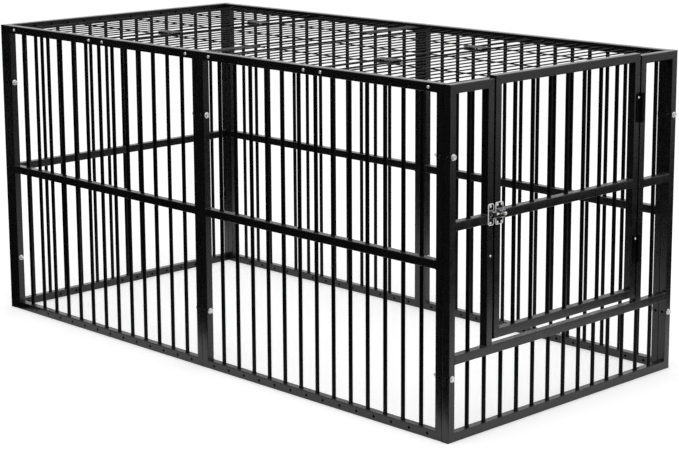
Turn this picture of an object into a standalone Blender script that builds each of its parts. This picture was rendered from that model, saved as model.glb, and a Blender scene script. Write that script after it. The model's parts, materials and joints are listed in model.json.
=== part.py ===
"""Dog playpen: six square-tube panels bolted in a ring, a hinged door with a slide latch, and a flat wire roof.

Metres, +Z up. The long side runs along X with the door at +X, the front side faces -Y, and the origin is on the
floor, half way between the outermost bolt head and the latch's knob. A panel is drawn in its own frame: X along
its width, Y through the tube, Z up. Turned a quarter for the ends, that frame has its Y = 0 face outward at the
door end.

What is welded in one piece is one solid. Only the door panel, which bends round its doorway, is three:
the lower grille and a bay on each side of the door.
"""

import math

import bmesh
import bpy
from mathutils import Matrix, Vector

# Tube, bars and panels
SEAM = 0.0003                 # gap kept between faces that touch
TUBE = 0.025                  # square tube of every frame
PANEL_WIDTH = 1.000
PANEL_HEIGHT = 0.980
MID_RAIL_CENTRE = 0.490
BAR_DIAMETER = 0.012
BAR_COUNT = 13
RAIL_HOLE = 0.0085            # holes in the top and bottom rails of plain panels, one in each gap between bars
CUT_MARGIN = 0.002            # how far a cutter runs past the face it leaves
WELD = 0.0005                 # how far a welded piece runs into the one it joins

# Bolts that join neighbouring posts
BOLT_FROM_FLOOR = 0.180
BOLT_FROM_TOP = 0.193
BOLT_DIAMETER = 0.008
BOLT_CLEARANCE = 0.001        # hole over bolt, on the diameter
BOLT_HEAD_HEIGHT = 0.0065
NUT_HEIGHT = 0.008
THREAD_END = 0.0062           # thread that shows past the nut
HEX_ACROSS_FLATS = 0.013      # of the bolt's head and of its nut
HEX_FLANGE = 0.0178
HEX_FLANGE_THICKNESS = 0.0018

# Door panel
SILL_UNDERSIDE = 0.2165
JAMB_INSET = 0.151            # panel edge to the outer side of each jamb
STUB_RAIL_UNDERSIDE = 0.585

# Door leaf
LEAF_SIDE_GAP = 0.005
LEAF_SILL_GAP = 0.0165
LEAF_RISE = 0.007             # leaf top above the panel tops
LEAF_MID_UNDERSIDE = 0.592
LEAF_BAR_COUNT = 7

# Butt hinges on the outer face
HINGE_FROM_TOP = 0.159        # leaf top to the middle of the upper hinge
HINGE_FROM_BOTTOM = 0.149
HINGE_LENGTH = 0.085
HINGE_PLATE_WIDTH = 0.019
HINGE_PLATE_THICKNESS = 0.0025
HINGE_BARREL = 0.010
HINGE_PIN = 0.005
HINGE_KNUCKLES = 5
PIN_HEAD = 0.0075
PIN_HEAD_HEIGHT = 0.002

# Slide latch
LATCH_HEIGHT = 0.610
LATCH_PLATE_THICKNESS = 0.002
LATCH_BASE_SIZE = (0.031, 0.062)
LATCH_BASE_INSET = 0.001      # leaf edge to base plate
KEEPER_SIZE = (0.022, 0.060)
KEEPER_INSET = 0.0015         # jamb's doorway side to keeper plate
LATCH_CORNER = 0.004
HOUSING_SIZE = (0.025, 0.024)
HOUSING_DEPTH = 0.014         # tube face to the front of housing and keeper bridge
KEEPER_BRIDGE_SIZE = (0.017, 0.022)
LATCH_BOLT = 0.008
LATCH_BOLT_CLEARANCE = 0.0008
LATCH_BOLT_LENGTH = 0.034
LATCH_BOLT_OFFSET = 0.008     # tube face to the axis of the bolt
LATCH_STANDOFF = 0.002        # keeper bridge to the tip of the withdrawn bolt
LATCH_THROW = 0.012
LATCH_CHAMFER = 0.0015
KNOB_STEM = 0.005
KNOB_STEM_LENGTH = 0.006
KNOB_DIAMETER = 0.010
KNOB_POSITION = 0.027         # tip of the bolt to the stem

# Roof
ROOF_ROD = 0.008
ROOF_BUSH = 0.0105
ROOF_BUSH_LENGTH = 0.018
ROOF_SCREW = 0.006
ROOF_SCREW_HEAD = 0.011
ROOF_SCREW_HEAD_HEIGHT = 0.0035
ROOF_WIRE = 0.004
ROOF_WIRE_LIFT = 0.0025       # long wires above the row of holes
ROOF_CELLS = 9                # gaps between the long wires of one piece
ROOF_CROSS_WIRES = 5
ROOF_CROSS_INSET = 0.005      # rail to the first cross wire
GUSSET_THICKNESS = 0.002
CLAMP_INSET = 0.305           # front and back edges to the clamps
CLAMP_OVERHANG = 0.006        # plate past the centre of each rod
CLAMP_WIDTH = 0.040
CLAMP_THICKNESS = 0.002
CLAMP_CORNER = 0.006
CLAMP_BOLT = 0.006
CLAMP_NUT_ACROSS_FLATS = 0.010
CLAMP_NUT_HEIGHT = 0.005
CLAMP_HEAD = 0.012
CLAMP_HEAD_HEIGHT = 0.0035
CLAMP_THREAD_END = 0.0015

# Number of sides of the round forms
BAR_SIDES = 6
WIRE_SIDES = 4
HOLE_SIDES = 6
SHANK_SIDES = 6
ROUND_SIDES = 12
FLANGE_SIDES = 8
DOME_STEPS = 2
KNOB_STEPS = 4
SMOOTH_ANGLE = math.radians(50)

# Places worked out from the dimensions above
BOLT_HEIGHTS = (BOLT_FROM_FLOOR, PANEL_HEIGHT - BOLT_FROM_TOP)
JOINT_GRIP = 2 * TUBE + SEAM
PITCH_ALONG = PANEL_WIDTH + SEAM
LENGTH = 2 * (TUBE + PITCH_ALONG) + SEAM
KNOB_NECK = math.asin(KNOB_STEM / KNOB_DIAMETER)
KNOB_CENTRE = KNOB_STEM_LENGTH + KNOB_DIAMETER / 2 * math.cos(KNOB_NECK)
LEFT_OVERHANG = BOLT_HEAD_HEIGHT + SEAM
RIGHT_OVERHANG = LATCH_BOLT_OFFSET + KNOB_CENTRE + KNOB_DIAMETER / 2
ORIGIN_X = LEFT_OVERHANG - (LEFT_OVERHANG + LENGTH + RIGHT_OVERHANG) / 2
ORIGIN_Y = -PANEL_WIDTH / 2
SIDE_STARTS = {"a": ORIGIN_X + TUBE + SEAM, "b": ORIGIN_X + TUBE + SEAM + PITCH_ALONG}
SIDE_EDGES = {"front": ORIGIN_Y, "back": ORIGIN_Y + PANEL_WIDTH - TUBE}
DOOR_PANEL_X = ORIGIN_X + LENGTH - TUBE
SILL_TOP = SILL_UNDERSIDE + TUBE
JAMB_FRONT = (JAMB_INSET, JAMB_INSET + TUBE)
JAMB_BACK = (PANEL_WIDTH - JAMB_INSET - TUBE, PANEL_WIDTH - JAMB_INSET)
LEAF_X = (JAMB_FRONT[1] + LEAF_SIDE_GAP, JAMB_BACK[0] - LEAF_SIDE_GAP)
LEAF_Z = (SILL_TOP + LEAF_SILL_GAP, PANEL_HEIGHT + LEAF_RISE)
HINGE_HEIGHTS = {"upper": LEAF_Z[1] - HINGE_FROM_TOP, "lower": LEAF_Z[0] + HINGE_FROM_BOTTOM}
HINGE_X = JAMB_BACK[0] - LEAF_SIDE_GAP / 2
HINGE_Y = -HINGE_BARREL / 2 - SEAM
LATCH_AXIS_Y = -LATCH_BOLT_OFFSET
KEEPER_X = (JAMB_FRONT[1] - KEEPER_INSET - KEEPER_SIZE[0], JAMB_FRONT[1] - KEEPER_INSET)
LATCH_BASE_X = (LEAF_X[0] + LATCH_BASE_INSET, LEAF_X[0] + LATCH_BASE_INSET + LATCH_BASE_SIZE[0])
HOUSING_X = (LATCH_BASE_X[1] - KEEPER_INSET - HOUSING_SIZE[0], LATCH_BASE_X[1] - KEEPER_INSET)
KEEPER_BRIDGE_X = (KEEPER_X[1] - KEEPER_BRIDGE_SIZE[0], KEEPER_X[1])
LATCH_TIP_X = KEEPER_BRIDGE_X[1] + LATCH_STANDOFF
ROOF_LEVEL = PANEL_HEIGHT - TUBE / 2

FINISHES = {
    "powder_black": {"colour": (0.014, 0.014, 0.015), "metallic": 0.0, "roughness": 0.45},
    "black_steel": {"colour": (0.010, 0.010, 0.011), "metallic": 0.4, "roughness": 0.40},
    "zinc": {"colour": (0.62, 0.63, 0.65), "metallic": 1.0, "roughness": 0.32},
    "chrome": {"colour": (0.75, 0.76, 0.78), "metallic": 1.0, "roughness": 0.12},
    "grey_plate": {"colour": (0.24, 0.24, 0.25), "metallic": 0.6, "roughness": 0.45},
}


# Scene and objects

def clear_scene():
    for thing in list(bpy.data.objects):
        bpy.data.objects.remove(thing, do_unlink=True)


def make_material(name, finish):
    values = FINISHES[finish]
    made = bpy.data.materials.new(f"{name}_{finish}")
    made.use_nodes = True
    shader = made.node_tree.nodes["Principled BSDF"]
    shader.inputs["Base Color"].default_value = (*values["colour"], 1.0)
    shader.inputs["Metallic"].default_value = values["metallic"]
    shader.inputs["Roughness"].default_value = values["roughness"]
    return made


def to_mesh(name, shape):
    """Close a bmesh into a mesh with outward faces, smooth where it is round."""
    bmesh.ops.recalc_face_normals(shape, faces=shape.faces)
    mesh = bpy.data.meshes.new(name)
    shape.to_mesh(mesh)
    shape.free()
    mesh.shade_smooth()
    mesh.set_sharp_from_angle(angle=SMOOTH_ANGLE)
    return mesh


def add_node(name, mesh, finish, parent=None, location=(0, 0, 0), turn=0.0):
    node = bpy.data.objects.new(name, mesh)
    bpy.context.scene.collection.objects.link(node)
    if not mesh.materials:
        mesh.materials.append(None)
    node.material_slots[0].link = "OBJECT"
    node.material_slots[0].material = make_material(name, finish)
    node.location = location
    node.rotation_euler.z = turn
    node.parent = parent
    return node


def add_pivot(name, parent, location):
    pivot = bpy.data.objects.new(name, None)
    bpy.context.scene.collection.objects.link(pivot)
    pivot.location = location
    pivot.parent = parent
    return pivot


def carved(name, shape, *cuts):
    """The mesh of shape after each (operation, tool) Boolean in turn."""
    body = bpy.data.objects.new(name, to_mesh(name, shape))
    bpy.context.scene.collection.objects.link(body)
    tools = []
    for number, (operation, tool_shape) in enumerate(cuts):
        tool = bpy.data.objects.new(f"{name}_tool_{number}", to_mesh(f"{name}_tool_{number}", tool_shape))
        bpy.context.scene.collection.objects.link(tool)
        tools.append(tool)
        step = body.modifiers.new(f"step_{number}", "BOOLEAN")
        step.operation = operation
        step.solver = "EXACT"
        step.object = tool
    graph = bpy.context.evaluated_depsgraph_get()
    mesh = bpy.data.meshes.new_from_object(body.evaluated_get(graph), depsgraph=graph)
    for thing in (body, *tools):
        bpy.data.objects.remove(thing, do_unlink=True)
    mesh.name = name
    mesh.materials.clear()
    mesh.shade_smooth()
    mesh.set_sharp_from_angle(angle=SMOOTH_ANGLE)
    return mesh


# Basic solids

def add_box(shape, low, high):
    low, high = Vector(low), Vector(high)
    size = high - low
    place = Matrix.Translation((low + high) / 2) @ Matrix.Diagonal((*size, 1.0))
    bmesh.ops.create_cube(shape, size=1.0, matrix=place)


def add_plate(shape, outline, front, back):
    """Extrude an (x, z) outline from y = front to y = back."""
    face = shape.faces.new([shape.verts.new((x, front, z)) for x, z in outline])
    pushed = bmesh.ops.extrude_face_region(shape, geom=[face])["geom"]
    corners = [item for item in pushed if isinstance(item, bmesh.types.BMVert)]
    bmesh.ops.translate(shape, verts=corners, vec=(0, back - front, 0))


def along(start, end):
    """Matrix that puts a form drawn up +Z from the origin onto the line from start to end."""
    start, end = Vector(start), Vector(end)
    return Matrix.Translation(start) @ (end - start).to_track_quat("Z", "Y").to_matrix().to_4x4()


def add_rod(shape, start, end, diameter, sides, turn=None):
    """A straight prism measured across its corners, with a flat on top when it lies down unless turned."""
    length = (Vector(end) - Vector(start)).length
    place = along(start, end) @ Matrix.Translation((0, 0, length / 2))
    spin = Matrix.Rotation(math.pi / sides if turn is None else turn, 4, "Z")
    bmesh.ops.create_cone(shape, cap_ends=True, segments=sides, radius1=diameter / 2, radius2=diameter / 2,
                          depth=length, matrix=place @ spin)


def add_bore(shape, start, end, diameter, sides):
    """A cutter that leaves the whole diameter clear between its flats."""
    add_rod(shape, start, end, diameter / math.cos(math.pi / sides), sides)


def add_turned(shape, profile, start, end, sides):
    """Spin a (height, radius) profile, which starts and ends on the axis, round the line from start to end."""
    form = bmesh.new()
    points = [form.verts.new((radius, 0, height)) for height, radius in profile]
    edges = [form.edges.new(pair) for pair in zip(points, points[1:])]
    bmesh.ops.spin(form, geom=points + edges, axis=(0, 0, 1), cent=(0, 0, 0), angle=2 * math.pi, steps=sides,
                   use_merge=True)
    bmesh.ops.remove_doubles(form, verts=form.verts, dist=WELD / 50)
    flats = Matrix.Rotation(math.pi / 2 + math.pi / sides, 3, "Z")
    bmesh.ops.rotate(form, verts=form.verts, cent=(0, 0, 0), matrix=flats)
    bmesh.ops.transform(form, verts=form.verts, matrix=along(start, end))
    turned = bpy.data.meshes.new("turned")
    form.to_mesh(turned)
    form.free()
    shape.from_mesh(turned)
    bpy.data.meshes.remove(turned)


def dome(radius, height):
    """Profile of a domed head from its crown, at -height, to its rim at zero."""
    steps = range(DOME_STEPS + 1)
    angles = [math.pi / 2 * step / DOME_STEPS for step in steps]
    return [(-height * math.cos(angle), radius * math.sin(angle)) for angle in angles]


def screw_profile(head, head_height, shank, length):
    """Domed screw whose head seats on height zero, with its shank running up to length."""
    crown = [(height - SEAM, radius) for height, radius in dome(head / 2, head_height)]
    return crown + [(-SEAM, shank / 2), (length, shank / 2), (length, 0)]


def rounded_rectangle(x_range, z_range, radius, steps=2):
    corners = (
        (x_range[1] - radius, z_range[1] - radius, 0),
        (x_range[0] + radius, z_range[1] - radius, 1),
        (x_range[0] + radius, z_range[0] + radius, 2),
        (x_range[1] - radius, z_range[0] + radius, 3),
    )
    outline = []
    for x, z, quarter in corners:
        for step in range(steps + 1):
            angle = math.pi / 2 * (quarter + step / steps)
            outline.append((x + radius * math.cos(angle), z + radius * math.sin(angle)))
    return outline


def span(centre, size):
    return (centre - size / 2, centre + size / 2)


def equal_gaps(start, end, count, width):
    """Centres of count bars, and of the gaps between them, spread evenly from start to end."""
    gap = (end - start - count * width) / (count + 1)
    bars = [start + gap + width / 2 + number * (gap + width) for number in range(count)]
    gaps = [start + gap / 2 + number * (gap + width) for number in range(count + 1)]
    return bars, gaps


BAR_PLACES, HOLE_PLACES = equal_gaps(TUBE, PANEL_WIDTH - TUBE, BAR_COUNT, BAR_DIAMETER)


# Frames of square tube, in a panel's own frame

def add_lattice(shape, columns, rows, windows):
    """Flat frame of square tube, from the grid lines and the (column, row) cells that stay open."""
    corners = {(i, j): shape.verts.new((x, 0, z)) for i, x in enumerate(columns) for j, z in enumerate(rows)}
    faces = []
    for i in range(len(columns) - 1):
        for j in range(len(rows) - 1):
            if (i, j) not in windows:
                ring = ((i, j), (i + 1, j), (i + 1, j + 1), (i, j + 1))
                faces.append(shape.faces.new([corners[corner] for corner in ring]))
    bmesh.ops.delete(shape, geom=[vert for vert in corners.values() if not vert.link_faces], context="VERTS")
    pushed = bmesh.ops.extrude_face_region(shape, geom=faces)["geom"]
    moved = [item for item in pushed if isinstance(item, bmesh.types.BMVert)]
    bmesh.ops.translate(shape, verts=moved, vec=(0, TUBE, 0))


def two_window_lattice(shape, x_range, z_range, mid_underside):
    """Rectangle of tube with one cross rail."""
    columns = (x_range[0], x_range[0] + TUBE, x_range[1] - TUBE, x_range[1])
    rows = (z_range[0], z_range[0] + TUBE, mid_underside, mid_underside + TUBE, z_range[1] - TUBE, z_range[1])
    add_lattice(shape, columns, rows, {(1, 1), (1, 3)})


def bars(*rows):
    """Round bars welded between rails: each row is (places, height of the lower rail, height of the upper)."""
    shape = bmesh.new()
    for places, low, high in rows:
        for x in places:
            add_rod(shape, (x, TUBE / 2, low - WELD), (x, TUBE / 2, high + WELD), BAR_DIAMETER, BAR_SIDES)
    return shape


def add_holes_through(shape, places, z, diameter):
    """Cutters through the thickness of a panel."""
    for x in places:
        add_bore(shape, (x, -CUT_MARGIN, z), (x, TUBE + CUT_MARGIN, z), diameter, HOLE_SIDES)


def add_post_holes_through(shape, posts):
    for z in BOLT_HEIGHTS:
        add_holes_through(shape, posts, z, BOLT_DIAMETER + BOLT_CLEARANCE)


def post_holes_sideways(posts):
    """Cutter for the holes of the panel bolts, which run along the panel's width."""
    shape = bmesh.new()
    reach = TUBE / 2 + CUT_MARGIN
    for x in posts:
        for z in BOLT_HEIGHTS:
            add_bore(shape, (x - reach, TUBE / 2, z), (x + reach, TUBE / 2, z), BOLT_DIAMETER + BOLT_CLEARANCE,
                     HOLE_SIDES)
    return shape


def post_holes_lengthways(posts):
    """Cutter for the holes of the panel bolts in an end panel, which run through its thickness."""
    shape = bmesh.new()
    add_post_holes_through(shape, posts)
    return shape


POSTS = (TUBE / 2, PANEL_WIDTH - TUBE / 2)


# Plain panels

def plain_panel_mesh():
    mid_underside = MID_RAIL_CENTRE - TUBE / 2
    shape = bmesh.new()
    two_window_lattice(shape, (0, PANEL_WIDTH), (0, PANEL_HEIGHT), mid_underside)
    grille = bars((BAR_PLACES, TUBE, mid_underside),
                  (BAR_PLACES, mid_underside + TUBE, PANEL_HEIGHT - TUBE))
    rail_holes = bmesh.new()
    for z in (TUBE / 2, PANEL_HEIGHT - TUBE / 2):
        add_holes_through(rail_holes, HOLE_PLACES, z, RAIL_HOLE)
    add_post_holes_through(rail_holes, POSTS)
    return carved("plain_panel", shape, ("UNION", grille), ("DIFFERENCE", rail_holes),
                  ("DIFFERENCE", post_holes_sideways(POSTS)))


def add_plain_panels():
    panel = plain_panel_mesh()
    places = [("left_end", (ORIGIN_X + TUBE, ORIGIN_Y, 0), math.pi / 2)]
    for side, edge in SIDE_EDGES.items():
        for letter, start in SIDE_STARTS.items():
            places.append((f"{side}_{letter}", (start, edge, 0), 0.0))
    for name, location, turn in places:
        add_node(f"panel_{name}", panel, "powder_black", location=location, turn=turn)


# Door panel

def door_lower_mesh():
    """Bottom rail, which has no holes here, sill and the bars between them."""
    ends = (TUBE + SEAM, PANEL_WIDTH - TUBE - SEAM)
    rails = bmesh.new()
    for low in (0, SILL_UNDERSIDE):
        add_box(rails, (ends[0], 0, low), (ends[1], TUBE, low + TUBE))
    return carved("door_lower", rails, ("UNION", bars((BAR_PLACES, TUBE, SILL_UNDERSIDE))))


def door_bay_mesh(name, post_edge, jamb_edge):
    """Post, jamb and the two short rails and two bars between them. Each edge is the side away from the other."""
    inward = TUBE if post_edge < jamb_edge else -TUBE
    lines = (post_edge, post_edge + inward, jamb_edge - inward, jamb_edge)
    columns = sorted(lines)
    rows = (0, SILL_TOP + SEAM, STUB_RAIL_UNDERSIDE, STUB_RAIL_UNDERSIDE + TUBE, PANEL_HEIGHT - TUBE, PANEL_HEIGHT)
    jamb_column = 2 if inward > 0 else 0
    shape = bmesh.new()
    add_lattice(shape, columns, rows, {(1, 0), (jamb_column, 0), (1, 1), (1, 3)})
    middle = [(lines[1] + lines[2]) / 2]
    lower = bars((middle, SILL_TOP + SEAM + WELD, STUB_RAIL_UNDERSIDE),
                 (middle, STUB_RAIL_UNDERSIDE + TUBE, PANEL_HEIGHT - TUBE))
    post = (post_edge + inward / 2,)
    return carved(name, shape, ("UNION", lower), ("DIFFERENCE", post_holes_lengthways(post)),
                  ("DIFFERENCE", post_holes_sideways(post)))


# Door leaf

def door_leaf_mesh():
    shape = bmesh.new()
    two_window_lattice(shape, LEAF_X, LEAF_Z, LEAF_MID_UNDERSIDE)
    places = equal_gaps(LEAF_X[0] + TUBE, LEAF_X[1] - TUBE, LEAF_BAR_COUNT, BAR_DIAMETER)[0]
    grille = bars((places, LEAF_Z[0] + TUBE, LEAF_MID_UNDERSIDE),
                  (places, LEAF_MID_UNDERSIDE + TUBE, LEAF_Z[1] - TUBE))
    return carved("door_leaf", shape, ("UNION", grille))


# Hinges, drawn about the hinge axis

def knuckle_zone(number):
    height = HINGE_LENGTH / HINGE_KNUCKLES
    low = -HINGE_LENGTH / 2 + number * height
    return (low - SEAM / 2, low + height + SEAM / 2)


def hinge_leaf_mesh(side):
    """One plate with its rolled knuckles: side is +1 for the jamb plate, -1 for the door plate."""
    radius = HINGE_BARREL / 2
    half = HINGE_LENGTH / 2
    plate = bmesh.new()
    edges = sorted((0.0, side * HINGE_PLATE_WIDTH))
    add_box(plate, (edges[0], radius - HINGE_PLATE_THICKNESS, -half), (edges[1], radius, half))
    barrel = bmesh.new()
    add_rod(barrel, (0, 0, -half), (0, 0, half), HINGE_BARREL, ROUND_SIDES)
    gaps = bmesh.new()
    reach = radius + SEAM
    first_gap = 1 if side > 0 else 0
    for number in range(first_gap, HINGE_KNUCKLES, 2):
        low, high = knuckle_zone(number)
        sides = sorted((side * reach, -side * (radius + CUT_MARGIN)))
        add_box(gaps, (sides[0], -radius - CUT_MARGIN, low), (sides[1], radius + CUT_MARGIN, high))
    bore = bmesh.new()
    add_bore(bore, (0, 0, -half - CUT_MARGIN), (0, 0, half + CUT_MARGIN), HINGE_PIN + 2 * SEAM, SHANK_SIDES)
    return carved("hinge_leaf", plate, ("UNION", barrel), ("DIFFERENCE", gaps), ("DIFFERENCE", bore))


def hinge_pin_mesh():
    shape = bmesh.new()
    half = HINGE_LENGTH / 2
    profile = screw_profile(PIN_HEAD, PIN_HEAD_HEIGHT, HINGE_PIN, HINGE_LENGTH)
    add_turned(shape, profile, (0, 0, half), (0, 0, -half), SHANK_SIDES)
    return to_mesh("hinge_pin", shape)


# Latch

def latch_body_mesh(name, plate_x, plate_height, block_x, block_height, slot):
    """A plate with a raised block, bored along X for the bolt."""
    face = -SEAM
    plate_front = face - LATCH_PLATE_THICKNESS
    plate = bmesh.new()
    add_plate(plate, rounded_rectangle(plate_x, span(LATCH_HEIGHT, plate_height), LATCH_CORNER), plate_front, face)
    block = bmesh.new()
    add_plate(block, rounded_rectangle(block_x, span(LATCH_HEIGHT, block_height), LATCH_CORNER / 2),
              -HOUSING_DEPTH, plate_front + LATCH_PLATE_THICKNESS / 2)
    cuts = bmesh.new()
    add_bore(cuts, (block_x[0] - CUT_MARGIN, LATCH_AXIS_Y, LATCH_HEIGHT),
             (block_x[1] + CUT_MARGIN, LATCH_AXIS_Y, LATCH_HEIGHT), LATCH_BOLT + LATCH_BOLT_CLEARANCE, ROUND_SIDES)
    steps = [("UNION", block), ("DIFFERENCE", cuts)]
    if slot:
        window = bmesh.new()
        opening = span(LATCH_HEIGHT, KNOB_STEM + LATCH_BOLT_CLEARANCE)
        add_box(window, (slot[0], -HOUSING_DEPTH - CUT_MARGIN, opening[0]), (slot[1], LATCH_AXIS_Y, opening[1]))
        steps.append(("DIFFERENCE", window))
    return carved(name, plate, *steps)


def latch_bolt_mesh():
    """Chamfered round bolt with its knob, drawn from the tip of the bolt along +X."""
    radius = LATCH_BOLT / 2
    bolt = bmesh.new()
    profile = [(0, 0), (0, radius - LATCH_CHAMFER), (LATCH_CHAMFER, radius), (LATCH_BOLT_LENGTH, radius),
               (LATCH_BOLT_LENGTH, 0)]
    add_turned(bolt, profile, (0, 0, 0), (LATCH_BOLT_LENGTH, 0, 0), ROUND_SIDES)
    knob = bmesh.new()
    ball = KNOB_DIAMETER / 2
    arc = math.pi - KNOB_NECK
    angles = [arc * (1 - step / KNOB_STEPS) for step in range(KNOB_STEPS)]
    sphere = [(KNOB_CENTRE + ball * math.cos(angle), ball * math.sin(angle)) for angle in angles]
    stem_profile = [(0, 0), (0, KNOB_STEM / 2), *sphere, (KNOB_CENTRE + ball, 0)]
    add_turned(knob, stem_profile, (KNOB_POSITION, 0, 0), (KNOB_POSITION, -TUBE, 0), ROUND_SIDES)
    return carved("latch_bolt", bolt, ("UNION", knob))


def knob_slot():
    """Ends of the slot that the knob's stem travels in."""
    rest = LATCH_TIP_X + KNOB_POSITION
    play = KNOB_STEM / 2 + LATCH_BOLT_CLEARANCE
    return (rest - LATCH_THROW - play, rest + play)


def add_door_end():
    panel = add_pivot("door_panel_place", None, (DOOR_PANEL_X + TUBE, ORIGIN_Y, 0))
    panel.rotation_euler.z = math.pi / 2
    add_node("door_panel_lower", door_lower_mesh(), "powder_black", parent=panel)
    add_node("door_panel_front_bay", door_bay_mesh("front_bay", 0, JAMB_FRONT[1]), "powder_black", parent=panel)
    add_node("door_panel_back_bay", door_bay_mesh("back_bay", PANEL_WIDTH, JAMB_BACK[0]), "powder_black",
             parent=panel)
    jamb_leaf = hinge_leaf_mesh(1)
    pin = hinge_pin_mesh()
    for name, height in HINGE_HEIGHTS.items():
        axis = (HINGE_X, HINGE_Y, height)
        add_node(f"hinge_{name}_jamb_leaf", jamb_leaf, "black_steel", parent=panel, location=axis)
        add_node(f"hinge_{name}_pin", pin, "black_steel", parent=panel, location=axis)
    keeper = latch_body_mesh("latch_keeper", KEEPER_X, KEEPER_SIZE[1], KEEPER_BRIDGE_X, KEEPER_BRIDGE_SIZE[1], None)
    add_node("latch_keeper", keeper, "chrome", parent=panel)
    add_door_leaf(panel)


def add_door_leaf(panel):
    """The door and what rides on it, under a pivot that stands on the hinge axis."""
    door_axis = add_pivot("door_axis", panel, (HINGE_X, HINGE_Y, 0))
    back = (-HINGE_X, -HINGE_Y, 0)
    add_node("door_leaf", door_leaf_mesh(), "powder_black", parent=door_axis, location=back)
    hinge_plate = hinge_leaf_mesh(-1)
    for name, height in HINGE_HEIGHTS.items():
        add_node(f"hinge_{name}_door_leaf", hinge_plate, "black_steel", parent=door_axis, location=(0, 0, height))
    base = latch_body_mesh("latch_base", LATCH_BASE_X, LATCH_BASE_SIZE[1], HOUSING_X, HOUSING_SIZE[1], knob_slot())
    add_node("latch_base", base, "chrome", parent=door_axis, location=back)
    slide = add_pivot("latch_slide_start", door_axis,
                      (LATCH_TIP_X - HINGE_X, LATCH_AXIS_Y - HINGE_Y, LATCH_HEIGHT))
    add_node("latch_bolt", latch_bolt_mesh(), "black_steel", parent=slide)


# Bolts through neighbouring posts

def nut_tool(across_flats, height):
    """Hexagonal prism that stands on z = 0."""
    shape = bmesh.new()
    add_rod(shape, (0, 0, 0), (0, 0, height), across_flats / math.cos(math.pi / 6), 6)
    return shape


def flanged_hexagon(name, height, *more):
    """Hexagon on a flange that stands on z = 0, after more Boolean steps."""
    disc = bmesh.new()
    add_rod(disc, (0, 0, 0), (0, 0, HEX_FLANGE_THICKNESS), HEX_FLANGE, FLANGE_SIDES)
    hexagon = nut_tool(HEX_ACROSS_FLATS, height - WELD)
    bmesh.ops.translate(hexagon, verts=hexagon.verts, vec=(0, 0, WELD))
    return carved(name, disc, ("UNION", hexagon), *more)


def panel_nut_mesh():
    hole = bmesh.new()
    add_bore(hole, (0, 0, -CUT_MARGIN), (0, 0, NUT_HEIGHT + CUT_MARGIN), BOLT_DIAMETER + 2 * SEAM, SHANK_SIDES)
    return flanged_hexagon("panel_nut", NUT_HEIGHT, ("DIFFERENCE", hole))


def panel_bolt_mesh():
    """Bolt with its head up from z = 0 and its shank down through two posts and the nut."""
    shank = bmesh.new()
    reach = SEAM + JOINT_GRIP + SEAM + NUT_HEIGHT + THREAD_END
    add_rod(shank, (0, 0, WELD), (0, 0, -reach), BOLT_DIAMETER, SHANK_SIDES)
    return flanged_hexagon("panel_bolt", BOLT_HEAD_HEIGHT, ("UNION", shank))


def post_joints():
    """The outer X of each pair of bolted posts, left and right, and the side that the heads are on."""
    return {
        "left": (ORIGIN_X, ORIGIN_X + JOINT_GRIP, -1),
        "middle": (SIDE_STARTS["b"] - SEAM - TUBE, SIDE_STARTS["b"] + TUBE, 1),
        "door": (DOOR_PANEL_X - SEAM - TUBE, DOOR_PANEL_X + TUBE, 1),
    }


def add_panel_fasteners():
    """Bolts and nuts. The heads of the left and the door joints are outside, at the ends of the pen."""
    bolt = panel_bolt_mesh()
    nut = panel_nut_mesh()
    rows = {"front": ORIGIN_Y + TUBE / 2, "back": -ORIGIN_Y - TUBE / 2}
    levels = dict(zip(("low", "high"), BOLT_HEIGHTS))
    for joint, (left, right, head_side) in post_joints().items():
        seats = {-1: left - SEAM, 1: right + SEAM}
        for row, y in rows.items():
            for level, z in levels.items():
                name = f"{joint}_{row}_{level}"
                for kind, mesh, side in (("bolt", bolt, head_side), ("nut", nut, -head_side)):
                    piece = add_node(f"panel_{kind}_{name}", mesh, "zinc", location=(seats[side], y, z))
                    piece.rotation_euler = (0, side * math.pi / 2, 0)


# Roof

WIRE_LEVEL = ROOF_LEVEL + ROOF_WIRE_LIFT
ROD_TOP = ROOF_ROD / 2 * math.cos(math.pi / SHANK_SIDES)
CROSS_LEVEL = WIRE_LEVEL - ROOF_WIRE + 2 * WELD


def roof_pieces():
    """X of the two edge rods of each roof piece, which stand at holes of the top rails."""
    half = len(HOLE_PLACES) // 2
    pieces = []
    for start in SIDE_STARTS.values():
        pieces.append((start + HOLE_PLACES[0], start + HOLE_PLACES[half - 1]))
        pieces.append((start + HOLE_PLACES[half], start + HOLE_PLACES[-1]))
    return pieces


def cross_wire_places():
    first = ORIGIN_Y + TUBE + ROOF_CROSS_INSET
    pitch = -2 * first / (ROOF_CROSS_WIRES - 1)
    return [first + number * pitch for number in range(ROOF_CROSS_WIRES)]


def rod_profile():
    """Edge rod with a bush at each end and the screws through the top rails, from the front face of the pen."""
    screw_head = [(height - SEAM, radius) for height, radius in dome(ROOF_SCREW_HEAD / 2, ROOF_SCREW_HEAD_HEIGHT)]
    bush_start = TUBE + SEAM
    bush_end = bush_start + ROOF_BUSH_LENGTH
    near = screw_head + [
        (-SEAM, ROOF_SCREW / 2),
        (bush_start, ROOF_SCREW / 2),
        (bush_start, ROOF_BUSH / 2),
        (bush_end, ROOF_BUSH / 2),
        (bush_end, ROOF_ROD / 2),
    ]
    far = [(PANEL_WIDTH - height, radius) for height, radius in reversed(near)]
    return near + far


def add_wire(shape, start, end):
    """Roof wire with a corner up, so that crossing wires meet corner to corner."""
    add_rod(shape, start, end, ROOF_WIRE, WIRE_SIDES, turn=0)


def add_cross_wires(shape, low, high):
    for y in cross_wire_places():
        add_wire(shape, (low, y, CROSS_LEVEL), (high, y, CROSS_LEVEL))


def add_long_wire(shape, x):
    places = cross_wire_places()
    start, end = places[0] - ROOF_WIRE, places[-1] + ROOF_WIRE
    add_wire(shape, (x, start, WIRE_LEVEL), (x, end, WIRE_LEVEL))


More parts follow.
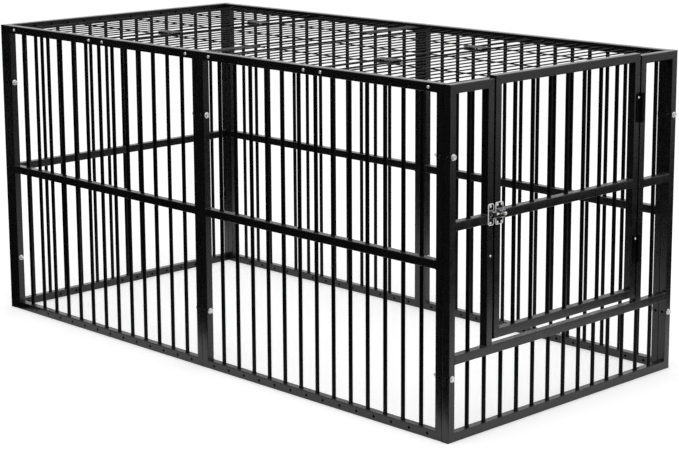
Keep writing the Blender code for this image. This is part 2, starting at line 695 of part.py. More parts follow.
def roof_piece_mesh(left, right, extra):
    """Edge rods and wires of one piece of the roof, with one more long wire past its right rod if extra is set."""
    pitch = (right - left) / ROOF_CELLS
    lengthways = bmesh.new()
    for x in (left, right):
        add_turned(lengthways, rod_profile(), (x, ORIGIN_Y, ROOF_LEVEL), (x, -ORIGIN_Y, ROOF_LEVEL), SHANK_SIDES)
    for cell in range(1, ROOF_CELLS):
        add_long_wire(lengthways, left + cell * pitch)
    if extra:
        add_long_wire(lengthways, right + pitch)
    crossways = bmesh.new()
    add_cross_wires(crossways, left, right + pitch + ROOF_WIRE / 2 if extra else right)
    return carved("roof_piece", lengthways, ("UNION", crossways))


def add_roof():
    for number, (left, right) in enumerate(roof_pieces(), start=1):
        beside_gusset = number == 2
        add_node(f"roof_piece_{number}", roof_piece_mesh(left, right, beside_gusset), "powder_black")
        if beside_gusset:
            add_gussets(right, right + (right - left) / ROOF_CELLS)


def add_gussets(rod_x, wire_x):
    """Two flat plates that lie on the cross wires of the end cells, beside the middle joint."""
    low, high = rod_x + ROOF_BUSH / 2 + SEAM, wire_x - ROOF_WIRE / 2 - SEAM
    base = CROSS_LEVEL + ROOF_WIRE / 2 + SEAM
    places = cross_wire_places()
    cells = {"front": (places[0], places[1]), "back": (places[-2], places[-1])}
    for name, (near, far) in cells.items():
        shape = bmesh.new()
        add_box(shape, (low, near - ROOF_WIRE / 2, base), (high, far + ROOF_WIRE / 2, base + GUSSET_THICKNESS))
        add_node(f"roof_gusset_{name}", to_mesh(f"roof_gusset_{name}", shape), "powder_black")


# Clamps over the gaps between roof pieces, drawn about the middle of their plates

def clamp_plate(length):
    """Rounded plate lying on z = 0."""
    shape = bmesh.new()
    outline = rounded_rectangle(span(0, length), span(0, CLAMP_WIDTH), CLAMP_CORNER)
    add_plate(shape, outline, 0, CLAMP_THICKNESS)
    bmesh.ops.rotate(shape, verts=shape.verts, cent=(0, 0, 0), matrix=Matrix.Rotation(math.pi / 2, 3, "X"))
    return shape


def clamp_upper_mesh(length, grip):
    """Upper plate with its bolt, which reaches down through the grip and the nut."""
    top = CLAMP_THICKNESS
    reach = top + grip + CLAMP_THICKNESS + CLAMP_NUT_HEIGHT + CLAMP_THREAD_END
    bolt = bmesh.new()
    profile = [(height + WELD, radius) for height, radius in dome(CLAMP_HEAD / 2, CLAMP_HEAD_HEIGHT)]
    profile += [(WELD, CLAMP_BOLT / 2), (reach, CLAMP_BOLT / 2), (reach, 0)]
    add_turned(bolt, profile, (0, 0, top), (0, 0, -reach), SHANK_SIDES)
    return carved("clamp_upper", clamp_plate(length), ("UNION", bolt))


def clamp_lower_mesh(length):
    """Lower plate with its welded nut underneath."""
    nut = nut_tool(CLAMP_NUT_ACROSS_FLATS, CLAMP_NUT_HEIGHT)
    bmesh.ops.translate(nut, verts=nut.verts, vec=(0, 0, WELD - CLAMP_NUT_HEIGHT))
    hole = bmesh.new()
    add_bore(hole, (0, 0, -CLAMP_NUT_HEIGHT - CUT_MARGIN), (0, 0, CLAMP_THICKNESS + CUT_MARGIN),
             CLAMP_BOLT + 2 * SEAM, SHANK_SIDES)
    return carved("clamp_lower", clamp_plate(length), ("UNION", nut), ("DIFFERENCE", hole))


def add_clamps():
    pieces = roof_pieces()
    gap = pieces[1][0] - pieces[0][1]
    length = gap + 2 * CLAMP_OVERHANG
    grip = 2 * (ROD_TOP + SEAM)
    upper = clamp_upper_mesh(length, grip)
    lower = clamp_lower_mesh(length)
    panels = {"a": pieces[0][1] + gap / 2, "b": pieces[2][1] + gap / 2}
    rows = {"front": ORIGIN_Y + CLAMP_INSET, "back": -ORIGIN_Y - CLAMP_INSET}
    for letter, x in panels.items():
        for row, y in rows.items():
            name = f"roof_clamp_{row}_{letter}"
            add_node(f"{name}_upper", upper, "grey_plate", location=(x, y, ROOF_LEVEL + grip / 2))
            add_node(f"{name}_lower", lower, "grey_plate",
                     location=(x, y, ROOF_LEVEL - grip / 2 - CLAMP_THICKNESS))


def main():
    clear_scene()
    add_plain_panels()
    add_door_end()
    add_panel_fasteners()
    add_roof()
    add_clamps()


main()
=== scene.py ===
"""Looks of the dog playpen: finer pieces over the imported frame, procedural finishes, studio light and camera.

Each welded panel is drawn once, in its own frame (X along its width, Y inward from its outer face, Z up), and
placed on the CAD node that it replaces. Metres throughout.
"""

import json
import math

import bmesh
import bpy
from mathutils import Matrix, Vector

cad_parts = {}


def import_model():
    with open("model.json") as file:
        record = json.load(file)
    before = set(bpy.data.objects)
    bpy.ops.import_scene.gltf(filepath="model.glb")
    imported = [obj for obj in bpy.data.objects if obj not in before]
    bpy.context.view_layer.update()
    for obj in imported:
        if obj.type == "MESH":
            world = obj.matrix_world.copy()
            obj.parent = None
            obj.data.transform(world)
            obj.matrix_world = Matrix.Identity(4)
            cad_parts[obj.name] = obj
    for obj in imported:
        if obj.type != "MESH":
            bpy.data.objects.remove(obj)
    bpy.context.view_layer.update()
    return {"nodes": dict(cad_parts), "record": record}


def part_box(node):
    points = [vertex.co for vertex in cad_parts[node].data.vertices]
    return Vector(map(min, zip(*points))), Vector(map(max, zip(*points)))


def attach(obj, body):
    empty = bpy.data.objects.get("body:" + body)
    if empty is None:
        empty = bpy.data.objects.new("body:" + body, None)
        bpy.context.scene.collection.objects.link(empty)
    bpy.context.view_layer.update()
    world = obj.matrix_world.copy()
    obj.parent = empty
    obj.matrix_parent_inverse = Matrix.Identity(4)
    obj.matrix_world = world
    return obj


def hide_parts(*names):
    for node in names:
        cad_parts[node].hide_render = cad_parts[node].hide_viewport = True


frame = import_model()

BODY_OF = {node: body for body, nodes in frame["record"]["behaviour"]["bodies"].items() for node in nodes}

SEAM = 0.0003              # gap between separate solids

# Panels
TUBE = 0.025
HALF = TUBE / 2
TUBE_RADIUS = 0.0022
TUBE_WALL = 0.0015
BORE_RADIUS = 0.0009
WIDTH = 1.000
HEIGHT = 0.980
MID_RAIL = 0.490
BAR = 0.012
BAR_COUNT = 13
RAIL_HOLE = 0.0085
POST_HOLE = 0.009

# Bolts between the panels
BOLT_LEVELS = (0.180, 0.787)
GRIP = 2 * TUBE + SEAM
BOLT_HEAD = 0.0065
NUT_HEIGHT = 0.008
HEX_ACROSS = 0.013
THREAD_END = 0.0062        # thread that stands out of a nut
THREAD_CREST = 0.0039
THREAD_ROOT = 0.0033
THREAD_PITCH = 0.00125

# Doorway and door leaf, in the door panel's frame
SILL_TOP = 0.2415
JAMB_FOOT = SILL_TOP - 0.0003
JAMB_INSET = 0.151
STUB_RAIL = 0.5975
LEAF_X = (0.181, 0.819)
LEAF_Z = (0.258, 0.987)
LEAF_MID = 0.6045
LEAF_BARS = 7

# Hinges
HINGE_X = 0.8215
HINGE_Y = -0.0053
HINGE_LEVELS = {"upper": 0.828, "lower": 0.407}
HINGE_LENGTH = 0.085
HINGE_PLATE = 0.019
HINGE_THICKNESS = 0.0025
HINGE_CORNER = 0.0022
HINGE_GAP = 0.0008         # from the axis to the near edge of a leaf
HINGE_BARREL = 0.010
HINGE_KNUCKLES = 5
HINGE_BORE = 0.0056
KNUCKLE_EASE = 0.0004
HINGE_PIN = 0.005
PLATE_FRONT = HINGE_Y + HINGE_BARREL / 2 - HINGE_THICKNESS
HINGE_SCREW_X = 0.0118     # from the axis to the screws
HINGE_SCREWS = {"top": 0.031, "middle": 0.0, "bottom": -0.031}

# Latch
LATCH_Z = 0.610
LATCH_PLATE = 0.002
LATCH_FACE = -SEAM - LATCH_PLATE
LATCH_CORNER = 0.006
LATCH_AXIS = -0.008
LATCH_FRONT = -0.014
LATCH_BOLT = 0.008
LATCH_BOLT_LENGTH = 0.034
LATCH_THROW = 0.012
BASE_X = (0.182, 0.213)
BASE_HEIGHT = 0.062
HOUSING_X = (0.1865, 0.2115)
HOUSING_HEIGHT = 0.024
KEEPER_X = (0.1525, 0.1745)
KEEPER_HEIGHT = 0.060
BRIDGE_X = (0.1575, 0.1745)
BRIDGE_HEIGHT = 0.022
BOLT_TIP_X = 0.1765
KNOB_FROM_TIP = 0.027
KNOB_STEM = 0.006
KNOB = 0.010
STEM_X = BOLT_TIP_X + KNOB_FROM_TIP
STEM_ROOM = 0.0033         # from the stem's middle to the end of its slot
SLOT_X = (STEM_X - LATCH_THROW - STEM_ROOM, STEM_X + STEM_ROOM)
SLOT_HEIGHT = 0.0058
LATCH_SCREWS = {           # X, height over the latch's middle, body
    "keeper_top": (0.1605, 0.0230, "pen"), "keeper_bottom": (0.1605, -0.0230, "pen"),
    "base_top": (0.1890, 0.0240, "door"), "base_bottom": (0.1890, -0.0240, "door"),
    "base_top_far": (0.2060, 0.0240, "door"), "base_bottom_far": (0.2060, -0.0240, "door"),
}
JAMB_SCREW = (0.1635, 0, 0.495)

# Roof
ROOF_LEVEL = 0.9675        # middle of the edge rods
ROD_RADIUS = 0.003
BUSH_RADIUS = 0.00525
WIRE = 0.004
WIRE_EASE = 0.0004
WIRE_LEVEL = 0.970
CROSS_LEVEL = 0.967
CROSS_INSET = 0.005        # from the rail to the first cross wire
WELD_SPOT = (0.0025, 0.0025, 0.0014)
ROOF_CELLS = 9
GUSSET_CORNER = 0.002
CLAMP_CORNER = 0.006
CLAMP_THICK = 0.002
CLAMP_HEAD = 0.0035
CLAMP_SINK = 0.0005

# Studio and camera
FLOOR_REACH = 14.0
FLOOR_LEVEL = -0.0004
FLOOR_WHITE = 0.86
FLOOR_GLOW = 0.30
WORLD_LEVEL = 0.82
FLAG_BLACK = 0.01
PHOTO_WIDTH = 679
FOCAL_PIXELS = 1882.2
SHIFT_PIXELS = -55.0
SENSOR = 36.0
CAMERA_TURN = (-45.765, 10.864, -0.295)     # azimuth, elevation and roll, in degrees
CAMERA_AWAY = (5.329, 3.597, 1.689)         # beyond the left end, before the front side, over the floor

# Sides of round forms
BAR_SIDES = 20
ROD_SIDES = 16
WIRE_SIDES = 12
DRILL_SIDES = 18
BORE_SIDES = 20
SCREW_SIDES = 24
HINGE_SIDES = 28
FLANGE_SIDES = 32

SHARP = math.radians(32)   # edges that turn more than this stay crisp
POINT = 1e-6               # a ring of a smaller radius is one point
LEAST_CORNER = 0.0003
SINK = 0.0006              # how far a screw's shank or recess runs past a surface
CLEAR = 0.01               # how far a hinge's cutters reach past it


# Mesh helpers

def along(start, end):
    start, end = Vector(start), Vector(end)
    return Matrix.Translation(start) @ (end - start).to_track_quat("Z", "Y").to_matrix().to_4x4()


def facing(place, way):
    """Matrix that stands a +Z form at place, pointing along way."""
    return along(place, Vector(place) + Vector(way))


def quarter(steps):
    return [math.pi / 2 * k / steps for k in range(steps + 1)]


def span(centre, size):
    return (centre - size / 2, centre + size / 2)


def skin(shape, rings, closed=False):
    """Quads between rings of points that have equal counts, capped at both ends unless closed."""
    rows = [[shape.verts.new(point) for point in ring] for ring in rings]
    count = len(rows[0])
    pairs = list(zip(rows, rows[1:]))
    if closed:
        pairs.append((rows[-1], rows[0]))
    for one, two in pairs:
        for i in range(count):
            j = (i + 1) % count
            shape.faces.new((one[i], one[j], two[j], two[i]))
    if not closed:
        shape.faces.new(rows[0][::-1])
        shape.faces.new(rows[-1])


def turned(shape, profile, start, end, sides, uneven=0.0, seed=0.0):
    """Spin a (height, radius) profile round the line from start to end. uneven ripples its inner rings."""
    place = along(start, end)
    rows = []
    for level, (height, radius) in enumerate(profile):
        if radius < POINT:
            rows.append([shape.verts.new(place @ Vector((0, 0, height)))])
            continue
        row = []
        for i in range(sides):
            angle = 2 * math.pi * i / sides
            wave = math.sin(3 * angle + seed + level) + math.sin(5 * angle + 2.3 * seed + 1.7 * level)
            swing = radius + uneven * wave * (0 < level < len(profile) - 1)
            spot = Vector((swing * math.cos(angle), swing * math.sin(angle), height))
            row.append(shape.verts.new(place @ spot))
        rows.append(row)
    for one, two in zip(rows, rows[1:]):
        for i in range(sides):
            j = (i + 1) % sides
            if len(one) == 1:
                shape.faces.new((one[0], two[j], two[i]))
            elif len(two) == 1:
                shape.faces.new((one[i], one[j], two[0]))
            else:
                shape.faces.new((one[i], one[j], two[j], two[i]))
    if len(rows[0]) > 1:
        shape.faces.new(rows[0][::-1])
    if len(rows[-1]) > 1:
        shape.faces.new(rows[-1])


def spun(profile, sides, way=(0, 0, 1)):
    """A new form, turned round the axis that leaves the origin along way."""
    shape = bmesh.new()
    turned(shape, profile, (0, 0, 0), way, sides)
    return shape


def rod(shape, start, end, diameter, sides):
    length = (Vector(end) - Vector(start)).length
    turned(shape, [(0, diameter / 2), (length, diameter / 2)], start, end, sides)


def block(shape, low, high):
    low, high = Vector(low), Vector(high)
    place = Matrix.Translation((low + high) / 2) @ Matrix.Diagonal((*(high - low), 1.0))
    bmesh.ops.create_cube(shape, size=1.0, matrix=place)


def rounded(x_range, z_range, radius, steps):
    """Outline of a rounded rectangle, as (x, z) points."""
    corners = (
        (x_range[1] - radius, z_range[1] - radius, 0),
        (x_range[0] + radius, z_range[1] - radius, 1),
        (x_range[0] + radius, z_range[0] + radius, 2),
        (x_range[1] - radius, z_range[0] + radius, 3),
    )
    outline = []
    for x, z, turns in corners:
        for step in range(steps + 1):
            angle = math.pi / 2 * (turns + step / steps)
            outline.append((x + radius * math.cos(angle), z + radius * math.sin(angle)))
    return outline


def soft_plate(shape, x_range, z_range, radius, back, front, ease, steps):
    """Rounded plate from y = back to y = front, with its front edge eased."""
    toward = 1 if front > back else -1
    stations = ((back, 0.0), (front - toward * ease, 0.0), (front - toward * ease * 0.3, ease * 0.3),
                (front, ease))     # y, inset
    rings = []
    for y, inset in stations:
        sides, ends = (x_range[0] + inset, x_range[1] - inset), (z_range[0] + inset, z_range[1] - inset)
        rings.append([(x, y, z) for x, z in rounded(sides, ends, max(radius - inset, LEAST_CORNER), steps)])
    skin(shape, rings)


def lay_flat(shape, level=0.0):
    """Lay a plate that was drawn upright flat, lifted by level."""
    swap = Matrix(((1, 0, 0, 0), (0, 0, 1, 0), (0, 1, 0, level), (0, 0, 0, 1)))
    bmesh.ops.transform(shape, verts=shape.verts, matrix=swap)


def crisp(mesh):
    mesh.shade_smooth()
    mesh.set_sharp_from_angle(angle=SHARP)
    return mesh


def to_mesh(name, shape):
    bmesh.ops.recalc_face_normals(shape, faces=shape.faces)
    mesh = bpy.data.meshes.new(name)
    shape.to_mesh(mesh)
    shape.free()
    return crisp(mesh)


def add(name, data):
    made = bpy.data.objects.new(name, data)
    bpy.context.scene.collection.objects.link(made)
    return made


def carved(name, shape, *cuts):
    """The mesh of shape after each (operation, tool) Boolean in turn."""
    body = add(name, to_mesh(name, shape))
    tools = []
    for number, (operation, tool_shape) in enumerate(cuts):
        tool_name = f"{name}_tool_{number}"
        tools.append(add(tool_name, to_mesh(tool_name, tool_shape)))
        step = body.modifiers.new(f"step_{number}", "BOOLEAN")
        step.operation = operation
        step.solver = "EXACT"
        step.object = tools[-1]
    graph = bpy.context.evaluated_depsgraph_get()
    mesh = bpy.data.meshes.new_from_object(body.evaluated_get(graph), depsgraph=graph)
    for thing in (body, *tools):
        bpy.data.objects.remove(thing, do_unlink=True)
    mesh.name = name
    mesh.materials.clear()
    return crisp(mesh)


def merged(name, *meshes):
    shape = bmesh.new()
    for mesh in meshes:
        shape.from_mesh(mesh)
    mesh = bpy.data.meshes.new(name)
    shape.to_mesh(mesh)
    shape.free()
    return crisp(mesh)


# Finishes

def shader(name, colour, metallic, roughness, specular=0.5):
    made = bpy.data.materials.new(name)
    made.use_nodes = True
    tree = made.node_tree
    surface = tree.nodes["Principled BSDF"]
    surface.inputs["Base Color"].default_value = (*colour, 1.0)
    surface.inputs["Metallic"].default_value = metallic
    surface.inputs["Roughness"].default_value = roughness
    surface.inputs["Specular IOR Level"].default_value = specular
    place = tree.nodes.new("ShaderNodeTexCoord")
    return made, tree, surface, place.outputs["Object"]


def noise(tree, coords, scale, detail, rough, stretch=None):
    if stretch:
        mapping = tree.nodes.new("ShaderNodeMapping")
        mapping.inputs["Scale"].default_value = stretch
        tree.links.new(coords, mapping.inputs["Vector"])
        coords = mapping.outputs["Vector"]
    node = tree.nodes.new("ShaderNodeTexNoise")
    node.inputs["Scale"].default_value = scale
    node.inputs["Detail"].default_value = detail
    node.inputs["Roughness"].default_value = rough
    tree.links.new(coords, node.inputs["Vector"])
    return node.outputs["Fac"]


def ranged(tree, value, low, high, start=0.3, stop=0.7):
    """Bring value from the range start to stop into the range low to high."""
    node = tree.nodes.new("ShaderNodeMapRange")
    node.inputs["From Min"].default_value = start
    node.inputs["From Max"].default_value = stop
    node.inputs["To Min"].default_value = low
    node.inputs["To Max"].default_value = high
    tree.links.new(value, node.inputs["Value"])
    return node.outputs["Result"]


def blend_colours(tree, factor, one, two):
    """Mix two colours, each a tuple or a socket."""
    node = tree.nodes.new("ShaderNodeMix")
    node.data_type = "RGBA"
    tree.links.new(factor, node.inputs["Factor"])
    for socket, value in ((node.inputs[6], one), (node.inputs[7], two)):
        if isinstance(value, tuple):
            socket.default_value = (*value, 1.0)
        else:
            tree.links.new(value, socket)
    return node.outputs[2]


def bump(tree, surface, *layers):
    """Each layer is (height, distance in metres); a later one rides on the one before."""
    normal = None
    for height, distance in layers:
        node = tree.nodes.new("ShaderNodeBump")
        node.inputs["Strength"].default_value = 1.0
        node.inputs["Distance"].default_value = distance
        tree.links.new(height, node.inputs["Height"])
        if normal:
            tree.links.new(normal, node.inputs["Normal"])
        normal = node.outputs["Normal"]
    tree.links.new(normal, surface.inputs["Normal"])


def facing_up(tree, start, stop):
    """0 on walls to 1 on surfaces that face up, where dust settles and where top faces get a painted highlight.
    """
    geometry = tree.nodes.new("ShaderNodeNewGeometry")
    split = tree.nodes.new("ShaderNodeSeparateXYZ")
    tree.links.new(geometry.outputs["Normal"], split.inputs["Vector"])
    return ranged(tree, split.outputs["Z"], 0.0, 1.0, start, stop)


# Grey that top faces are drawn toward: partly dust, partly a painted highlight for the sheen that grazing light
# gives them.
DUST_AND_SHEEN = (0.18, 0.18, 0.18)


def powder_coat(name, colour, light, rough, peel, specular):
    """Satin powder coat: fine orange peel, a cloudy sheen, and a trace of dust on top faces, which also
    lightens them as a painted highlight.
    """
    made, tree, surface, at = shader(name, colour, 0.0, rough, specular)
    cloud = noise(tree, at, scale=9.0, detail=4.0, rough=0.6)
    speck = noise(tree, at, scale=420.0, detail=2.0, rough=0.6)
    tone = blend_colours(tree, ranged(tree, cloud, 0.0, 1.0, start=0.35, stop=0.65), colour, light)
    fleck = blend_colours(tree, ranged(tree, speck, 0.0, 0.35, start=0.55, stop=0.75), tone, light)
    # Top faces lightened: partly dust, partly painted highlight.
    dust_and_sheen = ranged(tree, facing_up(tree, 0.7, 1.0), 0.0, 0.08, start=0.0, stop=1.0)
    tree.links.new(blend_colours(tree, dust_and_sheen, fleck, DUST_AND_SHEEN), surface.inputs["Base Color"])
    sheen = noise(tree, at, scale=35.0, detail=3.0, rough=0.6)
    tree.links.new(ranged(tree, sheen, rough - 0.05, rough + 0.06), surface.inputs["Roughness"])
    broad = noise(tree, at, scale=650.0, detail=1.0, rough=0.5)
    fine = noise(tree, at, scale=1900.0, detail=1.0, rough=0.5)
    bump(tree, surface, (broad, peel), (fine, peel / 3))
    return made


def metal(name, colour, tint, rough, grain, brushed=None, metallic=1.0):
    """Bare or plated metal, with patchy tone, uneven polish and fine marks."""
    made, tree, surface, at = shader(name, colour, metallic, rough)
    patch = noise(tree, at, scale=160.0, detail=3.0, rough=0.6)
    tone = blend_colours(tree, ranged(tree, patch, 0.0, 1.0), colour, tint)
    tree.links.new(tone, surface.inputs["Base Color"])
    marks = noise(tree, at, scale=700.0, detail=3.0, rough=0.7, stretch=brushed)
    tree.links.new(ranged(tree, marks, rough - 0.07, rough + 0.1), surface.inputs["Roughness"])
    bump(tree, surface, (marks, grain))
    return made


FINISHES = {
    "powder_black": powder_coat("powder_black", (0.0026, 0.0026, 0.0028), (0.0042, 0.0042, 0.0045),
                                rough=0.26, peel=0.00003, specular=0.5),
    # The bars' copy of the same powder coat, drawn darker and less glossy: painted shade.
    "bar_black_painted_shade": powder_coat("bar_black_painted_shade", (0.0012, 0.0012, 0.0013), (0.0022, 0.0022, 0.0023),
                             rough=0.34, peel=0.00003, specular=0.10),
    "black_steel": powder_coat("black_steel", (0.0012, 0.0012, 0.0013), (0.0022, 0.0022, 0.0023),
                               rough=0.45, peel=0.00002, specular=0.06),
    # Flat grey for the roof gussets, which are black coat like the frame: painted reflection of their grazing
    # sheen, with their gloss turned down.
    "painted_sheen_grey": powder_coat("painted_sheen_grey", (0.030, 0.030, 0.031), (0.042, 0.042, 0.043),
                               rough=0.75, peel=0.00004, specular=0.04),
    "zinc": metal("zinc", (0.74, 0.75, 0.77), (0.84, 0.83, 0.80), rough=0.27, grain=0.00002, metallic=0.6),
    # Chrome drawn with a dark base colour: painted shade for the dark surroundings that its faces reflect.
    "chrome": metal("chrome", (0.24, 0.245, 0.255), (0.30, 0.30, 0.30), rough=0.12, grain=0.000006,
                    brushed=(1.0, 1.0, 0.12)),
    # Pale, mostly matte metal for the latch plates' lips and some screw heads: painted highlight in place of
    # their glints.
    "painted_highlight_metal": metal("painted_highlight_metal", (0.82, 0.83, 0.84), (0.90, 0.90, 0.89), rough=0.34, grain=0.00002,
                         metallic=0.3),
    "grey_plate": powder_coat("grey_plate", (0.055, 0.056, 0.058), (0.080, 0.081, 0.082),
                              rough=0.62, peel=0.00004, specular=0.10),
}


def piece(name, mesh, slot, body, *nodes, place=None, weighted=False, finishes=None):
    """Put a mesh on a body, in place of CAD nodes if any. Its finishes are the slot's own unless named."""
    made = add(name, mesh)
    if not mesh.materials:
        for finish in finishes or (slot,):
            mesh.materials.append(FINISHES[finish])
    if place is not None:
        made.matrix_world = place
    if weighted:
        even = made.modifiers.new("even_normals", "WEIGHTED_NORMAL")
        even.keep_sharp = True
    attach(made, body)
    if nodes:
        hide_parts(*nodes)


# Welded panels. A section is an outline of (in-plane, depth) offsets from the tube's centre line

BORE = (TUBE_WALL - HALF, HALF - TUBE_WALL)
TUBE_SECTION = rounded((-HALF, HALF), (-HALF, HALF), TUBE_RADIUS, steps=3)
BORE_SECTION = rounded(BORE, BORE, BORE_RADIUS, steps=1)

WELD_HALF = 0.0019         # from the middle of a corner's bead to its edge
WELD_RISE = 0.00035
RAIL_BEAD = (              # place along the rail, rise in depth, rise in height
    (-0.0017, -0.0003, -0.0003), (-0.0009, 0.0002, 0.0009), (0.0, 0.0003, 0.0012), (0.0009, 0.00025, 0.0007),
    (0.0018, 0.0, 0.0),
)
BAR_BEAD = [               # height, radius
    (-0.0006, 0.0076), (0.0003, 0.0075), (0.0010, 0.0069), (0.0019, 0.0063), (0.0028, BAR / 2),
]
BAR_RIPPLE = 0.00012
JAMB_BEAD = (              # height over the sill, rise
    (0.0, 0.0013), (0.0006, 0.001), (0.0013, 0.0003), (0.0019, -0.0002),
)


def mitred(point, mitre, section):
    """A section laid along a mitre. Beads are pressed flat at the floor and at the top of the door leaf."""
    spots = [point + mitre * v + Vector((0, HALF + u, 0)) for v, u in section]
    return [(spot.x, spot.y, min(max(spot.z, 0.0), LEAF_Z[1])) for spot in spots]


def sweep(shape, path, section, closed=True, beads=True):
    """Sweep a tube's section along (x, z) points with mitred corners, each with a weld bead across it."""
    count = len(path)
    points = [Vector((x, 0, z)) for x, z in path]
    rings = []
    for number, point in enumerate(points):
        before = (point - points[number - 1]).normalized() if number or closed else None
        after = (points[(number + 1) % count] - point).normalized() if number < count - 1 or closed else None
        sides = [Vector((-way.z, 0, way.x)) for way in (before, after) if way is not None]
        mitre = sides[0] if len(sides) == 1 else (sides[0] + sides[1]) / (1 + sides[0].dot(sides[1]))
        if len(sides) == 1 or not beads:
            rings.append(mitred(point, mitre, section))
            continue
        crest = []
        for index, (v, u) in enumerate(section):
            lift = WELD_RISE * (1 + 0.25 * math.sin(9.0 * index + 3.0 * number))
            crest.append((v * (1 + lift / HALF), u * (1 + lift / HALF)))
        slope = [((a + 3 * c) / 4, (b + 3 * d) / 4) for (a, b), (c, d) in zip(section, crest)]
        rings.append(mitred(point - before * WELD_HALF, mitre, section))
        rings.append(mitred(point - before * WELD_HALF * 0.5, mitre, slope))
        rings.append(mitred(point, mitre, crest))
        rings.append(mitred(point + after * WELD_HALF * 0.5, mitre, slope))
        rings.append(mitred(point + after * WELD_HALF, mitre, section))
    skin(shape, rings, closed=closed)


def rail(shape, x_range, z):
    """Straight tube butt-welded at both ends, with a bead round each joint."""
    steps = [(x_range[0] + run, deep, wide) for run, deep, wide in RAIL_BEAD]
    steps += [(x_range[1] - run, deep, wide) for run, deep, wide in reversed(RAIL_BEAD)]
    rings = []
    for number, (x, deep, wide) in enumerate(steps):
        ring = []
        outline = rounded((-HALF - wide, HALF + wide), (-HALF - deep, HALF + deep), TUBE_RADIUS, steps=3)
        for index, (v, u) in enumerate(outline):
            ripple = 1 + 0.008 * math.sin(7.0 * index + 2.0 * number) * (deep > 0)
            ring.append((x, HALF + u * ripple, z + v * ripple))
        rings.append(ring)
    skin(shape, rings)


def bars(shape, places, low, high):
    """Round bars with a small fillet weld at each end, in the second of the panel's two finishes."""
    before = len(shape.faces)
    profile = BAR_BEAD + [(high - low - h, r) for h, r in reversed(BAR_BEAD)]
    for number, x in enumerate(places):
        seed = number * 1.3 + low * 17
        turned(shape, profile, (x, HALF, low), (x, HALF, high), BAR_SIDES, uneven=BAR_RIPPLE, seed=seed)
    shape.faces.ensure_lookup_table()
    for face in shape.faces[before:]:
        face.material_index = 1


def drill(shape, start, end, diameter):
    """Cutter through a tube, with its rims eased where it enters and leaves."""
    length = (Vector(end) - Vector(start)).length
    radius = diameter / 2
    rim = [(-0.001, radius + 0.0012), (0.0, radius + 0.0004), (0.0005, radius)]
    turned(shape, rim + [(length - h, r) for h, r in reversed(rim)], start, end, DRILL_SIDES)


def equal_gaps(start, end, count, width):
    """Centres of count things between start and end, and the middles of the equal gaps beside them."""
    gap = (end - start - count * width) / (count + 1)
    centres = [start + gap + width / 2 + number * (gap + width) for number in range(count)]
    between = [start + gap / 2 + number * (gap + width) for number in range(count + 1)]
    return centres, between


BAR_PLACES, HOLE_PLACES = equal_gaps(TUBE, WIDTH - TUBE, BAR_COUNT, BAR)


def post_drills():
    lengthways, sideways = bmesh.new(), bmesh.new()
    for x in (HALF, WIDTH - HALF):
        for z in BOLT_LEVELS:
            drill(lengthways, (x, 0, z), (x, TUBE, z), POST_HOLE)
            drill(sideways, (x - HALF, HALF, z), (x + HALF, HALF, z), POST_HOLE)
    return lengthways, sideways


def plain_panel():
    loop = [(HALF, HALF), (WIDTH - HALF, HALF), (WIDTH - HALF, HEIGHT - HALF), (HALF, HEIGHT - HALF)]
    ring, bore = bmesh.new(), bmesh.new()
    sweep(ring, loop, TUBE_SECTION)
    sweep(bore, loop, BORE_SECTION, beads=False)
    lengthways, sideways = post_drills()
    for z in (HALF, HEIGHT - HALF):
        for x in HOLE_PLACES:
            drill(lengthways, (x, 0, z), (x, TUBE, z), RAIL_HOLE)
    tubes = carved("panel_tubes", ring, ("DIFFERENCE", bore), ("DIFFERENCE", lengthways),
                   ("DIFFERENCE", sideways))
    fill = bmesh.new()
    rail(fill, (TUBE, WIDTH - TUBE), MID_RAIL)
    bars(fill, BAR_PLACES, TUBE, MID_RAIL - HALF)
    bars(fill, BAR_PLACES, MID_RAIL + HALF, HEIGHT - TUBE)
    return merged("plain_panel", tubes, to_mesh("panel_fill", fill))


def door_panel():
    """Tube bent round the doorway, with the sill and the side bays welded in."""
    inner = JAMB_INSET + HALF
    top = HEIGHT - HALF
    path = [(inner, JAMB_FOOT), (inner, top), (HALF, top), (HALF, HALF), (WIDTH - HALF, HALF),
            (WIDTH - HALF, top), (WIDTH - inner, top), (WIDTH - inner, JAMB_FOOT)]
    outer, bore = bmesh.new(), bmesh.new()
    sweep(outer, path, TUBE_SECTION, closed=False)
    sweep(bore, path, BORE_SECTION, closed=False, beads=False)
    lengthways, sideways = post_drills()
    tubes = carved("door_panel_tubes", outer, ("DIFFERENCE", bore), ("DIFFERENCE", lengthways),
                   ("DIFFERENCE", sideways))
    fill = bmesh.new()
    rail(fill, (TUBE, WIDTH - TUBE), SILL_TOP - HALF)
    bars(fill, BAR_PLACES, TUBE, SILL_TOP - TUBE)
    bay = JAMB_INSET - TUBE
    for start in (TUBE, WIDTH - JAMB_INSET):
        rail(fill, (start, start + bay), STUB_RAIL)
        bars(fill, [start + bay / 2], SILL_TOP, STUB_RAIL - HALF)
        bars(fill, [start + bay / 2], STUB_RAIL + HALF, HEIGHT - TUBE)
    for x in (inner, WIDTH - inner):
        rings = []
        for lift, out in JAMB_BEAD:
            outline = rounded(span(0, TUBE + 2 * out), span(0, TUBE + 0.5 * out), TUBE_RADIUS, steps=3)
            rings.append([(x + v, HALF + u, SILL_TOP + lift) for v, u in outline])
        skin(fill, rings)
    return merged("door_panel", tubes, to_mesh("door_panel_fill", fill))


